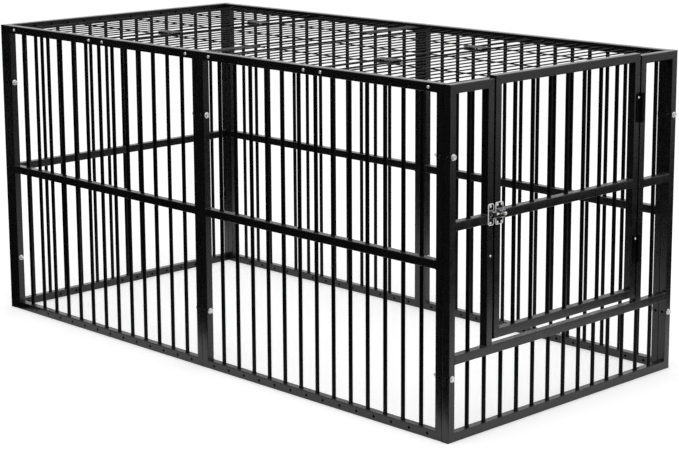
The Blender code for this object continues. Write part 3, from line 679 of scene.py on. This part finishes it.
def door_leaf():
    low_x, high_x = LEAF_X[0] + HALF, LEAF_X[1] - HALF
    low_z, high_z = LEAF_Z[0] + HALF, LEAF_Z[1] - HALF
    shape = bmesh.new()
    sweep(shape, [(low_x, low_z), (high_x, low_z), (high_x, high_z), (low_x, high_z)], TUBE_SECTION)
    rail(shape, (LEAF_X[0] + TUBE, LEAF_X[1] - TUBE), LEAF_MID)
    places = equal_gaps(LEAF_X[0] + TUBE, LEAF_X[1] - TUBE, LEAF_BARS, BAR)[0]
    bars(shape, places, LEAF_Z[0] + TUBE, LEAF_MID - HALF)
    bars(shape, places, LEAF_MID + HALF, LEAF_Z[1] - TUBE)
    return to_mesh("door_leaf_fine", shape)


def on_node(node, turn=False):
    """Place of a panel's own frame on the CAD node that it replaces."""
    low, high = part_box(node)
    if turn:
        return Matrix.Translation((high.x, low.y, 0)) @ Matrix.Rotation(math.pi / 2, 4, "Z")
    return Matrix.Translation((low.x, low.y, 0))


# The bars, the welds at their feet and the roof wires take the darker copy of the coat, as painted shade.
WELDED = {"weighted": True, "finishes": ("powder_black", "bar_black_painted_shade")}
PANEL = plain_panel()
for node in ("panel_front_a", "panel_front_b", "panel_back_a", "panel_back_b", "panel_left_end"):
    spot = on_node(node, turn=node == "panel_left_end")
    piece(f"welded_{node}", PANEL, "powder_black", "pen", node, place=spot, **WELDED)
DOOR_END = on_node("door_panel_front_bay", turn=True)
piece("welded_door_panel", door_panel(), "powder_black", "pen", "door_panel_lower", "door_panel_front_bay",
      "door_panel_back_bay", place=DOOR_END, **WELDED)
piece("welded_door_leaf", door_leaf(), "powder_black", "door", "door_leaf", place=DOOR_END, **WELDED)


# Screws and bolts, drawn up +Z: the head stands on z = 0 and its crown is at +Z

HEXAGON = 6
RECESS_ARM = 0.24          # width of a recess's arm, as a share of its length
RECESS_FOOT = 0.55         # scale of a recess at its foot and over its mouth
RECESS_MOUTH = 1.08


def cross_recess(size, depth, top):
    """Cutters for the two arms of a cross recess, which narrow as they go down."""
    arms = []
    for wide, deep in ((size, size * RECESS_ARM), (size * RECESS_ARM, size)):
        arm = bmesh.new()
        rings = []
        for z, scale in ((top - depth, RECESS_FOOT), (top + SINK, RECESS_MOUTH)):
            x, y = wide / 2 * scale, deep / 2 * scale
            rings.append([(-x, -y, z), (x, -y, z), (x, y, z), (-x, y, z)])
        skin(arm, rings)
        arms.append(("DIFFERENCE", arm))
    return arms


def pan_screw(diameter, height):
    """Domed screw head with a cross recess, on a short shank that runs into what it holds."""
    radius = diameter / 2
    profile = [(-SINK, radius * 0.5), (0.0, radius * 0.5), (0.0, radius * 0.94), (height * 0.12, radius)]
    profile += [(height * math.sin(a) * 0.7 + height * 0.3, radius * (0.18 + 0.82 * math.cos(a)))
                for a in quarter(5)]
    profile.append((height, 0.0))
    recess = cross_recess(diameter * 0.56, height * 0.75, height)
    return carved("pan_screw", spun(profile, SCREW_SIDES), *recess)


def socket_screw(diameter, height, across):
    """Button head with a hexagon socket."""
    radius = diameter / 2
    profile = [(-SINK, radius * 0.5), (0.0, radius * 0.5), (0.0, radius * 0.95), (height * 0.1, radius)]
    profile += [(height * (0.12 + 0.88 * math.sin(a)), radius * (0.42 + 0.58 * math.cos(a)))
                for a in quarter(6)[1:-1]]
    profile += [(height, radius * 0.42), (height, 0.0)]
    socket = [(height * 0.35, 0.0), (height * 0.45, across / 2), (height + 0.001, across / 2)]
    return carved("socket_screw", spun(profile, SCREW_SIDES), ("DIFFERENCE", spun(socket, HEXAGON)))


def flanged_hexagon(height):
    """Hexagon from just above z = 0, and the steps that chamfer it and give it its flange."""
    corner = HEX_ACROSS / 2 / math.cos(math.pi / 6)
    cone = [(0.0, 0.0110), (height - 0.0025, 0.0082), (height - 0.0008, 0.0074), (height, 0.0062),
            (height, 0.0)]
    flange = [(0.0, 0.0085), (0.0004, 0.0089), (0.0010, 0.0089), (0.0015, 0.0082), (0.0026, 0.0068),
              (0.0026, 0.0)]
    steps = (("INTERSECT", spun(cone, FLANGE_SIDES)), ("UNION", spun(flange, FLANGE_SIDES)))
    return spun([(0.0012, corner), (height, corner)], HEXAGON), steps


def flange_nut():
    """Flange nut that stands on z = 0."""
    hexagon, steps = flanged_hexagon(NUT_HEIGHT)
    hole = [(-0.002, 0.0044), (0.0068, 0.0041), (0.0082, 0.0048), (0.0090, 0.0052)]
    return carved("flange_nut", hexagon, *steps, ("DIFFERENCE", spun(hole, SCREW_SIDES)))


def flange_bolt():
    """Flange bolt whose head stands on z = 0, dished on top, with its shank down and a thread at its end."""
    head, steps = flanged_hexagon(BOLT_HEAD)
    dish = [(BOLT_HEAD - 0.0009, 0.0), (BOLT_HEAD - 0.0008, 0.0030), (BOLT_HEAD - 0.0002, 0.0043),
            (BOLT_HEAD + 0.001, 0.0046)]
    reach = SEAM + GRIP + SEAM + NUT_HEIGHT + THREAD_END
    level = reach - THREAD_END - THREAD_PITCH
    shank = [(-0.001, 0.0), (-0.001, THREAD_CREST), (level - THREAD_PITCH / 2, THREAD_CREST)]
    while level < reach - THREAD_PITCH:
        shank += [(level, THREAD_ROOT), (level + THREAD_PITCH / 2, THREAD_CREST)]
        level += THREAD_PITCH
    shank += [(reach, THREAD_ROOT), (reach, 0.0)]
    return carved("flange_bolt", head, *steps, ("DIFFERENCE", spun(dish, SCREW_SIDES)),
                  ("UNION", spun(shank, BORE_SIDES, (0, 0, -1))))


BOLT, NUT = flange_bolt(), flange_nut()
for node in sorted(frame["nodes"]):
    if not node.startswith(("panel_bolt_", "panel_nut_")):
        continue
    low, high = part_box(node)
    middle = (low + high) / 2
    is_bolt = node.startswith("panel_bolt_")
    outward = -1 if ("_left_" in node) == is_bolt else 1
    height = BOLT_HEAD if is_bolt else NUT_HEIGHT
    seat = (high.x if outward > 0 else low.x) - outward * height
    piece(node.replace("panel_", "flange_"), BOLT if is_bolt else NUT, "zinc", BODY_OF[node], node,
          place=facing((seat, middle.y, middle.z), (outward, 0, 0)))


# Hinges, drawn about the hinge axis in the door panel's frame

def hinge_leaf(side):
    """Plate with rolled knuckles round a bore: side is +1 on the jamb, -1 on the door."""
    radius = HINGE_BARREL / 2
    half = HINGE_LENGTH / 2
    height = HINGE_LENGTH / HINGE_KNUCKLES
    front = radius - HINGE_THICKNESS
    own, other = (0, 1) if side > 0 else (1, 0)
    plate, knuckles, gaps, bore = bmesh.new(), bmesh.new(), bmesh.new(), bmesh.new()
    edges = sorted((side * HINGE_GAP, side * HINGE_PLATE))
    soft_plate(plate, edges, (-half, half), HINGE_CORNER, radius, front, ease=0.0005, steps=4)
    wrap = sorted((0.0, side * radius * 1.15))
    for number in range(own, HINGE_KNUCKLES, 2):
        low = -half + number * height + SEAM / 2
        high = low + height - SEAM
        profile = [(low, radius - KNUCKLE_EASE), (low + KNUCKLE_EASE, radius), (high - KNUCKLE_EASE, radius),
                   (high, radius - KNUCKLE_EASE)]
        turned(knuckles, profile, (0, 0, 0), (0, 0, 1), HINGE_SIDES)
        block(knuckles, (wrap[0], front, low + KNUCKLE_EASE), (wrap[1], radius - 0.0001, high - KNUCKLE_EASE))
    wide = sorted((side * (radius + SEAM), -side * CLEAR))
    for number in range(other, HINGE_KNUCKLES, 2):
        low = -half + number * height - SEAM / 2
        block(gaps, (wide[0], -CLEAR, low), (wide[1], CLEAR, low + height + SEAM))
    rod(bore, (0, 0, -half - CLEAR), (0, 0, half + CLEAR), HINGE_BORE, BORE_SIDES)
    return carved("hinge_leaf_fine", plate, ("UNION", knuckles), ("DIFFERENCE", gaps), ("DIFFERENCE", bore))


def hinge_pin():
    """Pin with a domed head and a chamfered foot."""
    half = HINGE_LENGTH / 2
    profile = [(0.0021 * math.cos(a) + half + 0.0003, 0.00375 * math.sin(a)) for a in quarter(5)]
    profile += [(half + 0.0001, HINGE_PIN / 2), (-half - 0.0006, HINGE_PIN / 2), (-half - 0.0009, 0.0018),
                (-half - 0.0009, 0.0)]
    return to_mesh("hinge_pin_fine", spun(profile, SCREW_SIDES))


JAMB_LEAF, DOOR_LEAF_PLATE, PIN = hinge_leaf(1), hinge_leaf(-1), hinge_pin()
DARK_SCREW = pan_screw(diameter=0.0062, height=0.0011)
BRIGHT_SCREW = pan_screw(diameter=0.0072, height=0.0016)
for level, height in HINGE_LEVELS.items():
    at = DOOR_END @ Matrix.Translation((HINGE_X, HINGE_Y, height))
    for holder, mesh, body in (("jamb", JAMB_LEAF, "pen"), ("door", DOOR_LEAF_PLATE, "door")):
        piece(f"hinge_{level}_{holder}_plate", mesh, "black_steel", body, f"hinge_{level}_{holder}_leaf",
              place=at, weighted=True)
    piece(f"hinge_{level}_rivet", PIN, "black_steel", "pen", f"hinge_{level}_pin", place=at)
    for side, body, holder in ((1, "pen", "jamb"), (-1, "door", "door")):
        for row, lift in HINGE_SCREWS.items():
            # Screws of one kind in three finishes: the door's top screw pale and the middle ones grey as
            # painted highlights, the rest black.
            mesh, slot, finish = DARK_SCREW, "black_steel", "black_steel"
            if row == "middle":
                finish = "grey_plate"
            elif row == "top" and holder == "door":
                mesh, slot, finish = BRIGHT_SCREW, "zinc", "painted_highlight_metal"
            spot = (HINGE_X + side * HINGE_SCREW_X, PLATE_FRONT - 0.0001, height + lift)
            piece(f"hinge_{level}_{holder}_screw_{row}", mesh, slot, body,
                  place=DOOR_END @ facing(spot, (0, -1, 0)), finishes=(finish,))


# Latch, in the door panel's frame

HOUSING_STATIONS = (       # share of the way from plate to front, inset
    (-0.06, -0.0008), (0.0, -0.0008), (0.06, 0.0), (0.62, 0.0), (0.84, 0.0009), (0.96, 0.0024), (1.0, 0.0042),
)


def latch_body(name, plate_x, plate_height, block_x, block_height, slot_x=None):
    """Plate with a bored housing on it, which has a slot for the knob's stem if slot_x says where."""
    plate, housing, bore = bmesh.new(), bmesh.new(), bmesh.new()
    heights = span(LATCH_Z, plate_height)
    soft_plate(plate, plate_x, heights, LATCH_CORNER, -SEAM, LATCH_FACE, ease=0.0006, steps=6)
    rings = []
    for portion, inset in HOUSING_STATIONS:
        narrow = max(inset, 0)
        outline = rounded((block_x[0] + narrow * 0.25, block_x[1] - narrow * 0.25),
                          (LATCH_Z - block_height / 2 + inset, LATCH_Z + block_height / 2 - inset),
                          max(0.0022 - 0.2 * narrow, 0.001), steps=5)
        rings.append([(x, LATCH_FACE + (LATCH_FRONT - LATCH_FACE) * portion, z) for x, z in outline])
    skin(housing, rings)
    length = block_x[1] - block_x[0]
    rim = [(-0.002, 0.0056), (0.0, 0.0049), (0.0006, 0.0044)]
    turned(bore, rim + [(length - h, r) for h, r in reversed(rim)], (block_x[0], LATCH_AXIS, LATCH_Z),
           (block_x[1], LATCH_AXIS, LATCH_Z), HINGE_SIDES)
    steps = [("UNION", housing), ("DIFFERENCE", bore)]
    if slot_x:
        window = bmesh.new()
        outline = rounded(slot_x, span(LATCH_Z, SLOT_HEIGHT), 0.0026, steps=4)
        skin(window, [[(x, y, z) for x, z in outline] for y in (LATCH_AXIS, LATCH_FRONT - 0.004)])
        steps.append(("DIFFERENCE", window))
    return carved(name, plate, *steps)


def rolled_lip(x_range, height):
    """Lip rolled round the edge of a latch plate."""
    section = ((-SEAM, -0.0003), (LATCH_FACE + 0.0002, -0.0003), (LATCH_FACE - 0.0005, 0.0002),
               (LATCH_FACE - 0.0008, 0.0009), (LATCH_FACE - 0.0005, 0.0018), (LATCH_FACE + 0.0004, 0.0023))
    rings = []
    for y, inset in section:
        sides, ends = (x_range[0] + inset, x_range[1] - inset), span(LATCH_Z, height - 2 * inset)
        rings.append([(x, y, z) for x, z in rounded(sides, ends, LATCH_CORNER - inset, steps=6)])
    lip = bmesh.new()
    skin(lip, rings, closed=True)
    return to_mesh("rolled_lip", lip)


def slide_bolt():
    """Chamfered bolt with a turned knob, from its tip along +X."""
    radius = LATCH_BOLT / 2
    length = LATCH_BOLT_LENGTH
    bolt = spun([(0, 0), (0, radius - 0.0016), (0.0005, radius - 0.0008), (0.0016, radius),
                 (length - 0.0008, radius), (length, radius - 0.0008), (length, 0)], HINGE_SIDES, (1, 0, 0))
    ball = KNOB / 2
    neck = math.pi / 6
    centre = KNOB_STEM + ball * math.cos(neck)
    arc = [(math.pi - neck) * (1 - k / 12) for k in range(12)]
    profile = [(0, 0), (0, ball / 2)] + [(centre + ball * math.cos(a), ball * math.sin(a)) for a in arc]
    profile.append((centre + ball, 0.0))
    knob = bmesh.new()
    turned(knob, profile, (KNOB_FROM_TIP, 0, 0), (KNOB_FROM_TIP, -1, 0), HINGE_SIDES)
    return carved("slide_bolt", bolt, ("UNION", knob))


BASE = latch_body("latch_base_fine", BASE_X, BASE_HEIGHT, HOUSING_X, HOUSING_HEIGHT, SLOT_X)
KEEPER = latch_body("latch_keeper_fine", KEEPER_X, KEEPER_HEIGHT, BRIDGE_X, BRIDGE_HEIGHT)
piece("latch_base_plate", BASE, "chrome", "door", "latch_base", place=DOOR_END, weighted=True)
piece("latch_keeper_plate", KEEPER, "chrome", "pen", "latch_keeper", place=DOOR_END, weighted=True)
# Each lip in the pale metal, as a painted highlight round its plate.
for name, body, x_range, height in (("latch_base_lip", "door", BASE_X, BASE_HEIGHT),
                                    ("latch_keeper_lip", "pen", KEEPER_X, KEEPER_HEIGHT)):
    piece(name, rolled_lip(x_range, height), "chrome", body, place=DOOR_END, finishes=("painted_highlight_metal",))
piece("latch_slide_bolt", slide_bolt(), "black_steel", "latch_bolt", "latch_bolt",
      place=DOOR_END @ Matrix.Translation((BOLT_TIP_X, LATCH_AXIS, LATCH_Z)), finishes=("zinc",))
# Latch and jamb screws in the pale metal: painted highlight.
LATCH_SCREW = pan_screw(diameter=0.0075, height=0.0020)
for name, (x, lift, body) in LATCH_SCREWS.items():
    piece(f"latch_screw_{name}", LATCH_SCREW, "zinc", body, finishes=("painted_highlight_metal",),
          place=DOOR_END @ facing((x, LATCH_FACE, LATCH_Z + lift), (0, -1, 0)))
piece("jamb_stop_screw", pan_screw(diameter=0.0065, height=0.0022), "zinc", "pen", finishes=("painted_highlight_metal",),
      place=DOOR_END @ facing(JAMB_SCREW, (0, -1, 0)))


# Roof

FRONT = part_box("panel_front_a")[0].y
ROOF_WIDTH = HOLE_PLACES[6] - HOLE_PLACES[0]
ROOF_PITCH = ROOF_WIDTH / ROOF_CELLS
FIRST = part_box("roof_piece_1")
ROD_HALF = (FIRST[1].x - FIRST[0].x - ROOF_WIDTH) / 2
CROSS_FIRST = FRONT + TUBE + CROSS_INSET
# Y of the five cross wires, evenly about the middle
CROSS_PLACES = [CROSS_FIRST - CROSS_FIRST / 2 * number for number in range(5)]


def roof_x(number):
    """X of the two edge rods of a roof piece, from the CAD's box."""
    low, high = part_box(f"roof_piece_{number}")
    left = low.x + ROD_HALF
    return left, left + ROOF_WIDTH


def edge_rod(shape, x):
    """Rod with a bush at each end and the shank of each screw inside the top rails."""
    start = TUBE + SEAM
    near = [(0.0, ROD_RADIUS), (start, ROD_RADIUS), (start, 0.0049), (start + 0.0004, BUSH_RADIUS),
            (start + 0.0172, BUSH_RADIUS), (start + 0.018, 0.0047), (start + 0.0184, 0.0036),
            (start + 0.0195, ROD_RADIUS)]
    profile = near + [(WIDTH - y, r) for y, r in reversed(near)]
    turned(shape, profile, (x, FRONT, ROOF_LEVEL), (x, FRONT + WIDTH, ROOF_LEVEL), ROD_SIDES)


def wire(shape, start, end):
    length = (Vector(end) - Vector(start)).length
    radius = WIRE / 2
    turned(shape, [(0, radius - WIRE_EASE), (WIRE_EASE, radius), (length - WIRE_EASE, radius),
                   (length, radius - WIRE_EASE)], start, end, WIRE_SIDES)


def weld_spot(shape, x, y, seed):
    """Small bead where two wires cross, turned by seed."""
    middle = Matrix.Translation((x, y, (WIRE_LEVEL + CROSS_LEVEL) / 2)) @ Matrix.Diagonal((*WELD_SPOT, 1.0))
    spin = Matrix.Rotation(seed, 4, "Z")
    bmesh.ops.create_uvsphere(shape, u_segments=8, v_segments=5, radius=1.0, matrix=middle @ spin)


def roof_mesh(left, right, beyond):
    """Edge rods, long wires and cross wires. beyond is the X of one more wire past either edge, or None."""
    pitch = (right - left) / ROOF_CELLS
    shape = bmesh.new()
    for x in (left, right):
        edge_rod(shape, x)
    near, far = left, right
    places = [left + cell * pitch for cell in range(1, ROOF_CELLS)]
    if beyond is not None:
        near, far = min(near, beyond - WIRE / 2), max(far, beyond + WIRE / 2)
        places.append(beyond)
    for x in places:
        wire(shape, (x, CROSS_PLACES[0] - WIRE, WIRE_LEVEL), (x, CROSS_PLACES[-1] + WIRE, WIRE_LEVEL))
        for number, y in enumerate(CROSS_PLACES):
            weld_spot(shape, x, y, number + x * 10)
    for y in CROSS_PLACES:
        wire(shape, (near, y, CROSS_LEVEL), (far, y, CROSS_LEVEL))
    return to_mesh("roof_mesh", shape)


ROOF_SCREW = socket_screw(diameter=0.0095, height=0.0033, across=0.0042)
# X of one more wire, which roof piece 2 has in the middle gap and piece 4 in the gap before it
ONE_MORE = {2: roof_x(3)[0] - ROOF_PITCH, 4: roof_x(4)[0] - ROOF_PITCH}
for number in range(1, 5):
    left, right = roof_x(number)
    # The grille takes the darker copy of the coat: painted shade.
    piece(f"roof_grille_{number}", roof_mesh(left, right, ONE_MORE.get(number)), "powder_black", "pen",
          f"roof_piece_{number}", finishes=("bar_black_painted_shade",))
    for edge, x in (("left", left), ("right", right)):
        for row, y, way in (("front", FRONT - SEAM, -1), ("back", FRONT + WIDTH + SEAM, 1)):
            piece(f"roof_screw_{number}_{edge}_{row}", ROOF_SCREW, "zinc", "pen",
                  place=facing((x, y, ROOF_LEVEL), (0, way, 0)))

for row in ("front", "back"):
    low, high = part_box(f"roof_gusset_{row}")
    shape = bmesh.new()
    thick = high.z - low.z
    soft_plate(shape, (low.x, high.x), (low.y, high.y), GUSSET_CORNER, 0.0, thick, ease=0.0004, steps=4)
    lay_flat(shape, low.z)
    # Gussets in the flat grey: painted reflection.
    piece(f"roof_gusset_plate_{row}", to_mesh("gusset", shape), "powder_black", "pen", f"roof_gusset_{row}",
          weighted=True, finishes=("painted_sheen_grey",))


# Clamps over the gaps between the roof pieces

def clamp_plate(name, size, top):
    """Rounded plate on z = 0, about its own middle, eased on the side that top names."""
    shape = bmesh.new()
    back, front = (0.0, CLAMP_THICK) if top else (CLAMP_THICK, 0.0)
    soft_plate(shape, span(0, size.x), span(0, size.y), CLAMP_CORNER, back, front, ease=0.0006, steps=6)
    lay_flat(shape)
    return to_mesh(name, shape)


def clamp_bolt():
    """Domed head on z = 0, with a shank that reaches through both plates and the nut."""
    profile = [(CLAMP_HEAD * math.cos(a), 0.006 * math.sin(a)) for a in quarter(6)]
    profile += [(0.0, 0.003), (-0.0175, 0.003), (-0.0178, 0.0026), (-0.0178, 0.0)]
    return to_mesh("clamp_bolt", spun(profile, SCREW_SIDES))


def clamp_nut():
    """Chamfered nut that hangs under z = 0."""
    corner = 0.005 / math.cos(math.pi / 6)
    hexagon = spun([(0.0, corner), (0.005, corner)], HEXAGON, (0, 0, -1))
    cone = spun([(-0.001, 0.008), (0.0038, 0.006), (0.005, 0.0048), (0.005, 0.0)], HINGE_SIDES, (0, 0, -1))
    hole = bmesh.new()
    rod(hole, (0, 0, 0.002), (0, 0, -0.008), 0.0064, BORE_SIDES)
    return carved("clamp_nut", hexagon, ("INTERSECT", cone), ("DIFFERENCE", hole))


CLAMP_BOLT, CLAMP_NUT = clamp_bolt(), clamp_nut()
for row in ("front", "back"):
    for letter in ("a", "b"):
        stem_name = f"roof_clamp_{row}_{letter}"
        low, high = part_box(f"{stem_name}_upper")
        _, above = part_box(f"{stem_name}_lower")
        middle = (low + high) / 2
        base = high.z - CLAMP_HEAD - CLAMP_THICK + CLAMP_SINK
        lower = Matrix.Translation((middle.x, middle.y, above.z - CLAMP_THICK))
        piece(f"clamp_plate_{row}_{letter}_upper", clamp_plate("clamp_upper_plate", high - low, top=True),
              "grey_plate", "pen", f"{stem_name}_upper", weighted=True,
              place=Matrix.Translation((middle.x, middle.y, base)))
        piece(f"clamp_bolt_{row}_{letter}", CLAMP_BOLT, "grey_plate", "pen",
              place=Matrix.Translation((middle.x, middle.y, base + CLAMP_THICK)))
        piece(f"clamp_plate_{row}_{letter}_lower", clamp_plate("clamp_lower_plate", high - low, top=False),
              "grey_plate", "pen", f"{stem_name}_lower", place=lower, weighted=True)
        piece(f"clamp_nut_{row}_{letter}", CLAMP_NUT, "zinc", "pen", place=lower)


# Floor, background, light and camera

def seen_directly(tree):
    """1 for what the camera sees directly, in a mirror or through glass, 0 for light that falls on things."""
    path = tree.nodes.new("ShaderNodeLightPath")
    total = path.outputs["Is Camera Ray"]
    for ray in ("Is Glossy Ray", "Is Transmission Ray"):
        larger = tree.nodes.new("ShaderNodeMath")
        larger.operation = "MAXIMUM"
        tree.links.new(total, larger.inputs[0])
        tree.links.new(path.outputs[ray], larger.inputs[1])
        total = larger.outputs[0]
    return total


def floor():
    """White floor that lifts itself to white where it is seen, and keeps the object's shadow."""
    shape = bmesh.new()
    bmesh.ops.create_grid(shape, x_segments=1, y_segments=1, size=FLOOR_REACH)
    plane = add("floor", to_mesh("floor", shape))
    made = bpy.data.materials.new("floor_white")
    made.use_nodes = True
    tree = made.node_tree
    surface = tree.nodes["Principled BSDF"]
    surface.inputs["Base Color"].default_value = (FLOOR_WHITE, FLOOR_WHITE, FLOOR_WHITE, 1.0)
    surface.inputs["Roughness"].default_value = 0.9
    surface.inputs["Specular IOR Level"].default_value = 0.0
    glow = tree.nodes.new("ShaderNodeEmission")
    tree.links.new(ranged(tree, seen_directly(tree), 0.0, FLOOR_GLOW, 0.0, 1.0), glow.inputs["Strength"])
    both = tree.nodes.new("ShaderNodeAddShader")
    tree.links.new(surface.outputs[0], both.inputs[0])
    tree.links.new(glow.outputs[0], both.inputs[1])
    tree.links.new(both.outputs[0], tree.nodes["Material Output"].inputs["Surface"])
    plane.data.materials.append(made)
    plane.location.z = FLOOR_LEVEL


def world():
    """White where it is seen, and a little less for the light that it gives."""
    made = bpy.data.worlds.new("studio")
    bpy.context.scene.world = made
    made.use_nodes = True
    tree = made.node_tree
    background = tree.nodes["Background"]
    background.inputs["Color"].default_value = (1, 1, 1, 1)
    strength = ranged(tree, seen_directly(tree), WORLD_LEVEL, 1.0, 0.0, 1.0)
    tree.links.new(strength, background.inputs["Strength"])


def flag(name, shape):
    """Black studio cloth that only reflections show. It takes no light from the object."""
    made = bpy.data.materials.new(name)
    made.use_nodes = True
    surface = made.node_tree.nodes["Principled BSDF"]
    surface.inputs["Base Color"].default_value = (FLAG_BLACK, FLAG_BLACK, FLAG_BLACK, 1.0)
    surface.inputs["Specular IOR Level"].default_value = 0.0
    cloth = add(name, to_mesh(name, shape))
    cloth.data.materials.append(made)
    for way in ("camera", "diffuse", "transmission", "volume_scatter", "shadow"):
        setattr(cloth, f"visible_{way}", False)


def floor_flag(name, inner, outer, middle=(0.0, 0.0)):
    """Flat oval ring round the pen, from inner to outer (x, y) half axes, its inner edge about middle."""
    steps, height = 48, 0.002
    shape = bmesh.new()
    rings = []
    for (a, b), (x, y) in ((inner, middle), (outer, (0.0, 0.0))):
        turns = [2 * math.pi * k / steps for k in range(steps)]
        rings.append([shape.verts.new((x + a * math.cos(t), y + b * math.sin(t), height)) for t in turns])
    for k in range(steps):
        following = (k + 1) % steps
        shape.faces.new((rings[0][k], rings[0][following], rings[1][following], rings[1][k]))
    flag(name, shape)


def wall_flag(radius, height, start, stop):
    """Upright arc round the pen, between two angles from +X toward +Y, in degrees."""
    steps = 24
    shape = bmesh.new()
    posts = []
    for k in range(steps + 1):
        angle = math.radians(start + (stop - start) * k / steps)
        x, y = radius * math.cos(angle), radius * math.sin(angle)
        posts.append([shape.verts.new((x, y, z)) for z in (0.0, height)])
    for one, two in zip(posts, posts[1:]):
        shape.faces.new((one[0], two[0], two[1], one[1]))
    flag("wall_flag", shape)


def softbox(name, place, aim, size, power):
    data = bpy.data.lights.new(name, "AREA")
    data.shape = "RECTANGLE"
    data.size, data.size_y = size
    data.energy = power
    lamp = add(name, data)
    lamp.location = place
    lamp.rotation_euler = (Vector(aim) - Vector(place)).to_track_quat("-Z", "Y").to_euler()


def camera():
    azimuth, elevation, roll = (math.radians(angle) for angle in CAMERA_TURN)
    level = math.cos(elevation)
    ahead = Vector((level * math.sin(azimuth), level * math.cos(azimuth), -math.sin(elevation)))
    right = Vector((math.cos(azimuth), -math.sin(azimuth), 0))
    up = right.cross(ahead)
    right, up = (math.cos(roll) * right + math.sin(roll) * up, -math.sin(roll) * right + math.cos(roll) * up)
    data = bpy.data.cameras.new("camera")
    data.sensor_width = SENSOR
    data.lens = FOCAL_PIXELS / PHOTO_WIDTH * SENSOR
    data.shift_y = SHIFT_PIXELS / PHOTO_WIDTH
    data.clip_end = 60.0
    made = add("camera", data)
    left_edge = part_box("panel_left_end")[0].x
    spot = Vector((left_edge + CAMERA_AWAY[0], FRONT - CAMERA_AWAY[1], CAMERA_AWAY[2]))
    made.matrix_world = Matrix.Translation(spot) @ Matrix((right, up, -ahead)).transposed().to_4x4()
    bpy.context.scene.camera = made


floor()
world()
floor_flag("near_floor_flag", inner=(1.75, 1.05), outer=(4.3, 9.0), middle=(0.15, 0.30))
floor_flag("far_floor_flag", inner=(8.8, 8.8), outer=(13.8, 13.8))
wall_flag(radius=5.0, height=3.0, start=190, stop=350)
softbox("top_box", place=(0.8, -0.6, 3.6), aim=(0.0, 0.0, 0.5), size=(3.0, 3.0), power=45)
camera()
bpy.context.scene.view_settings.view_transform = "Standard"
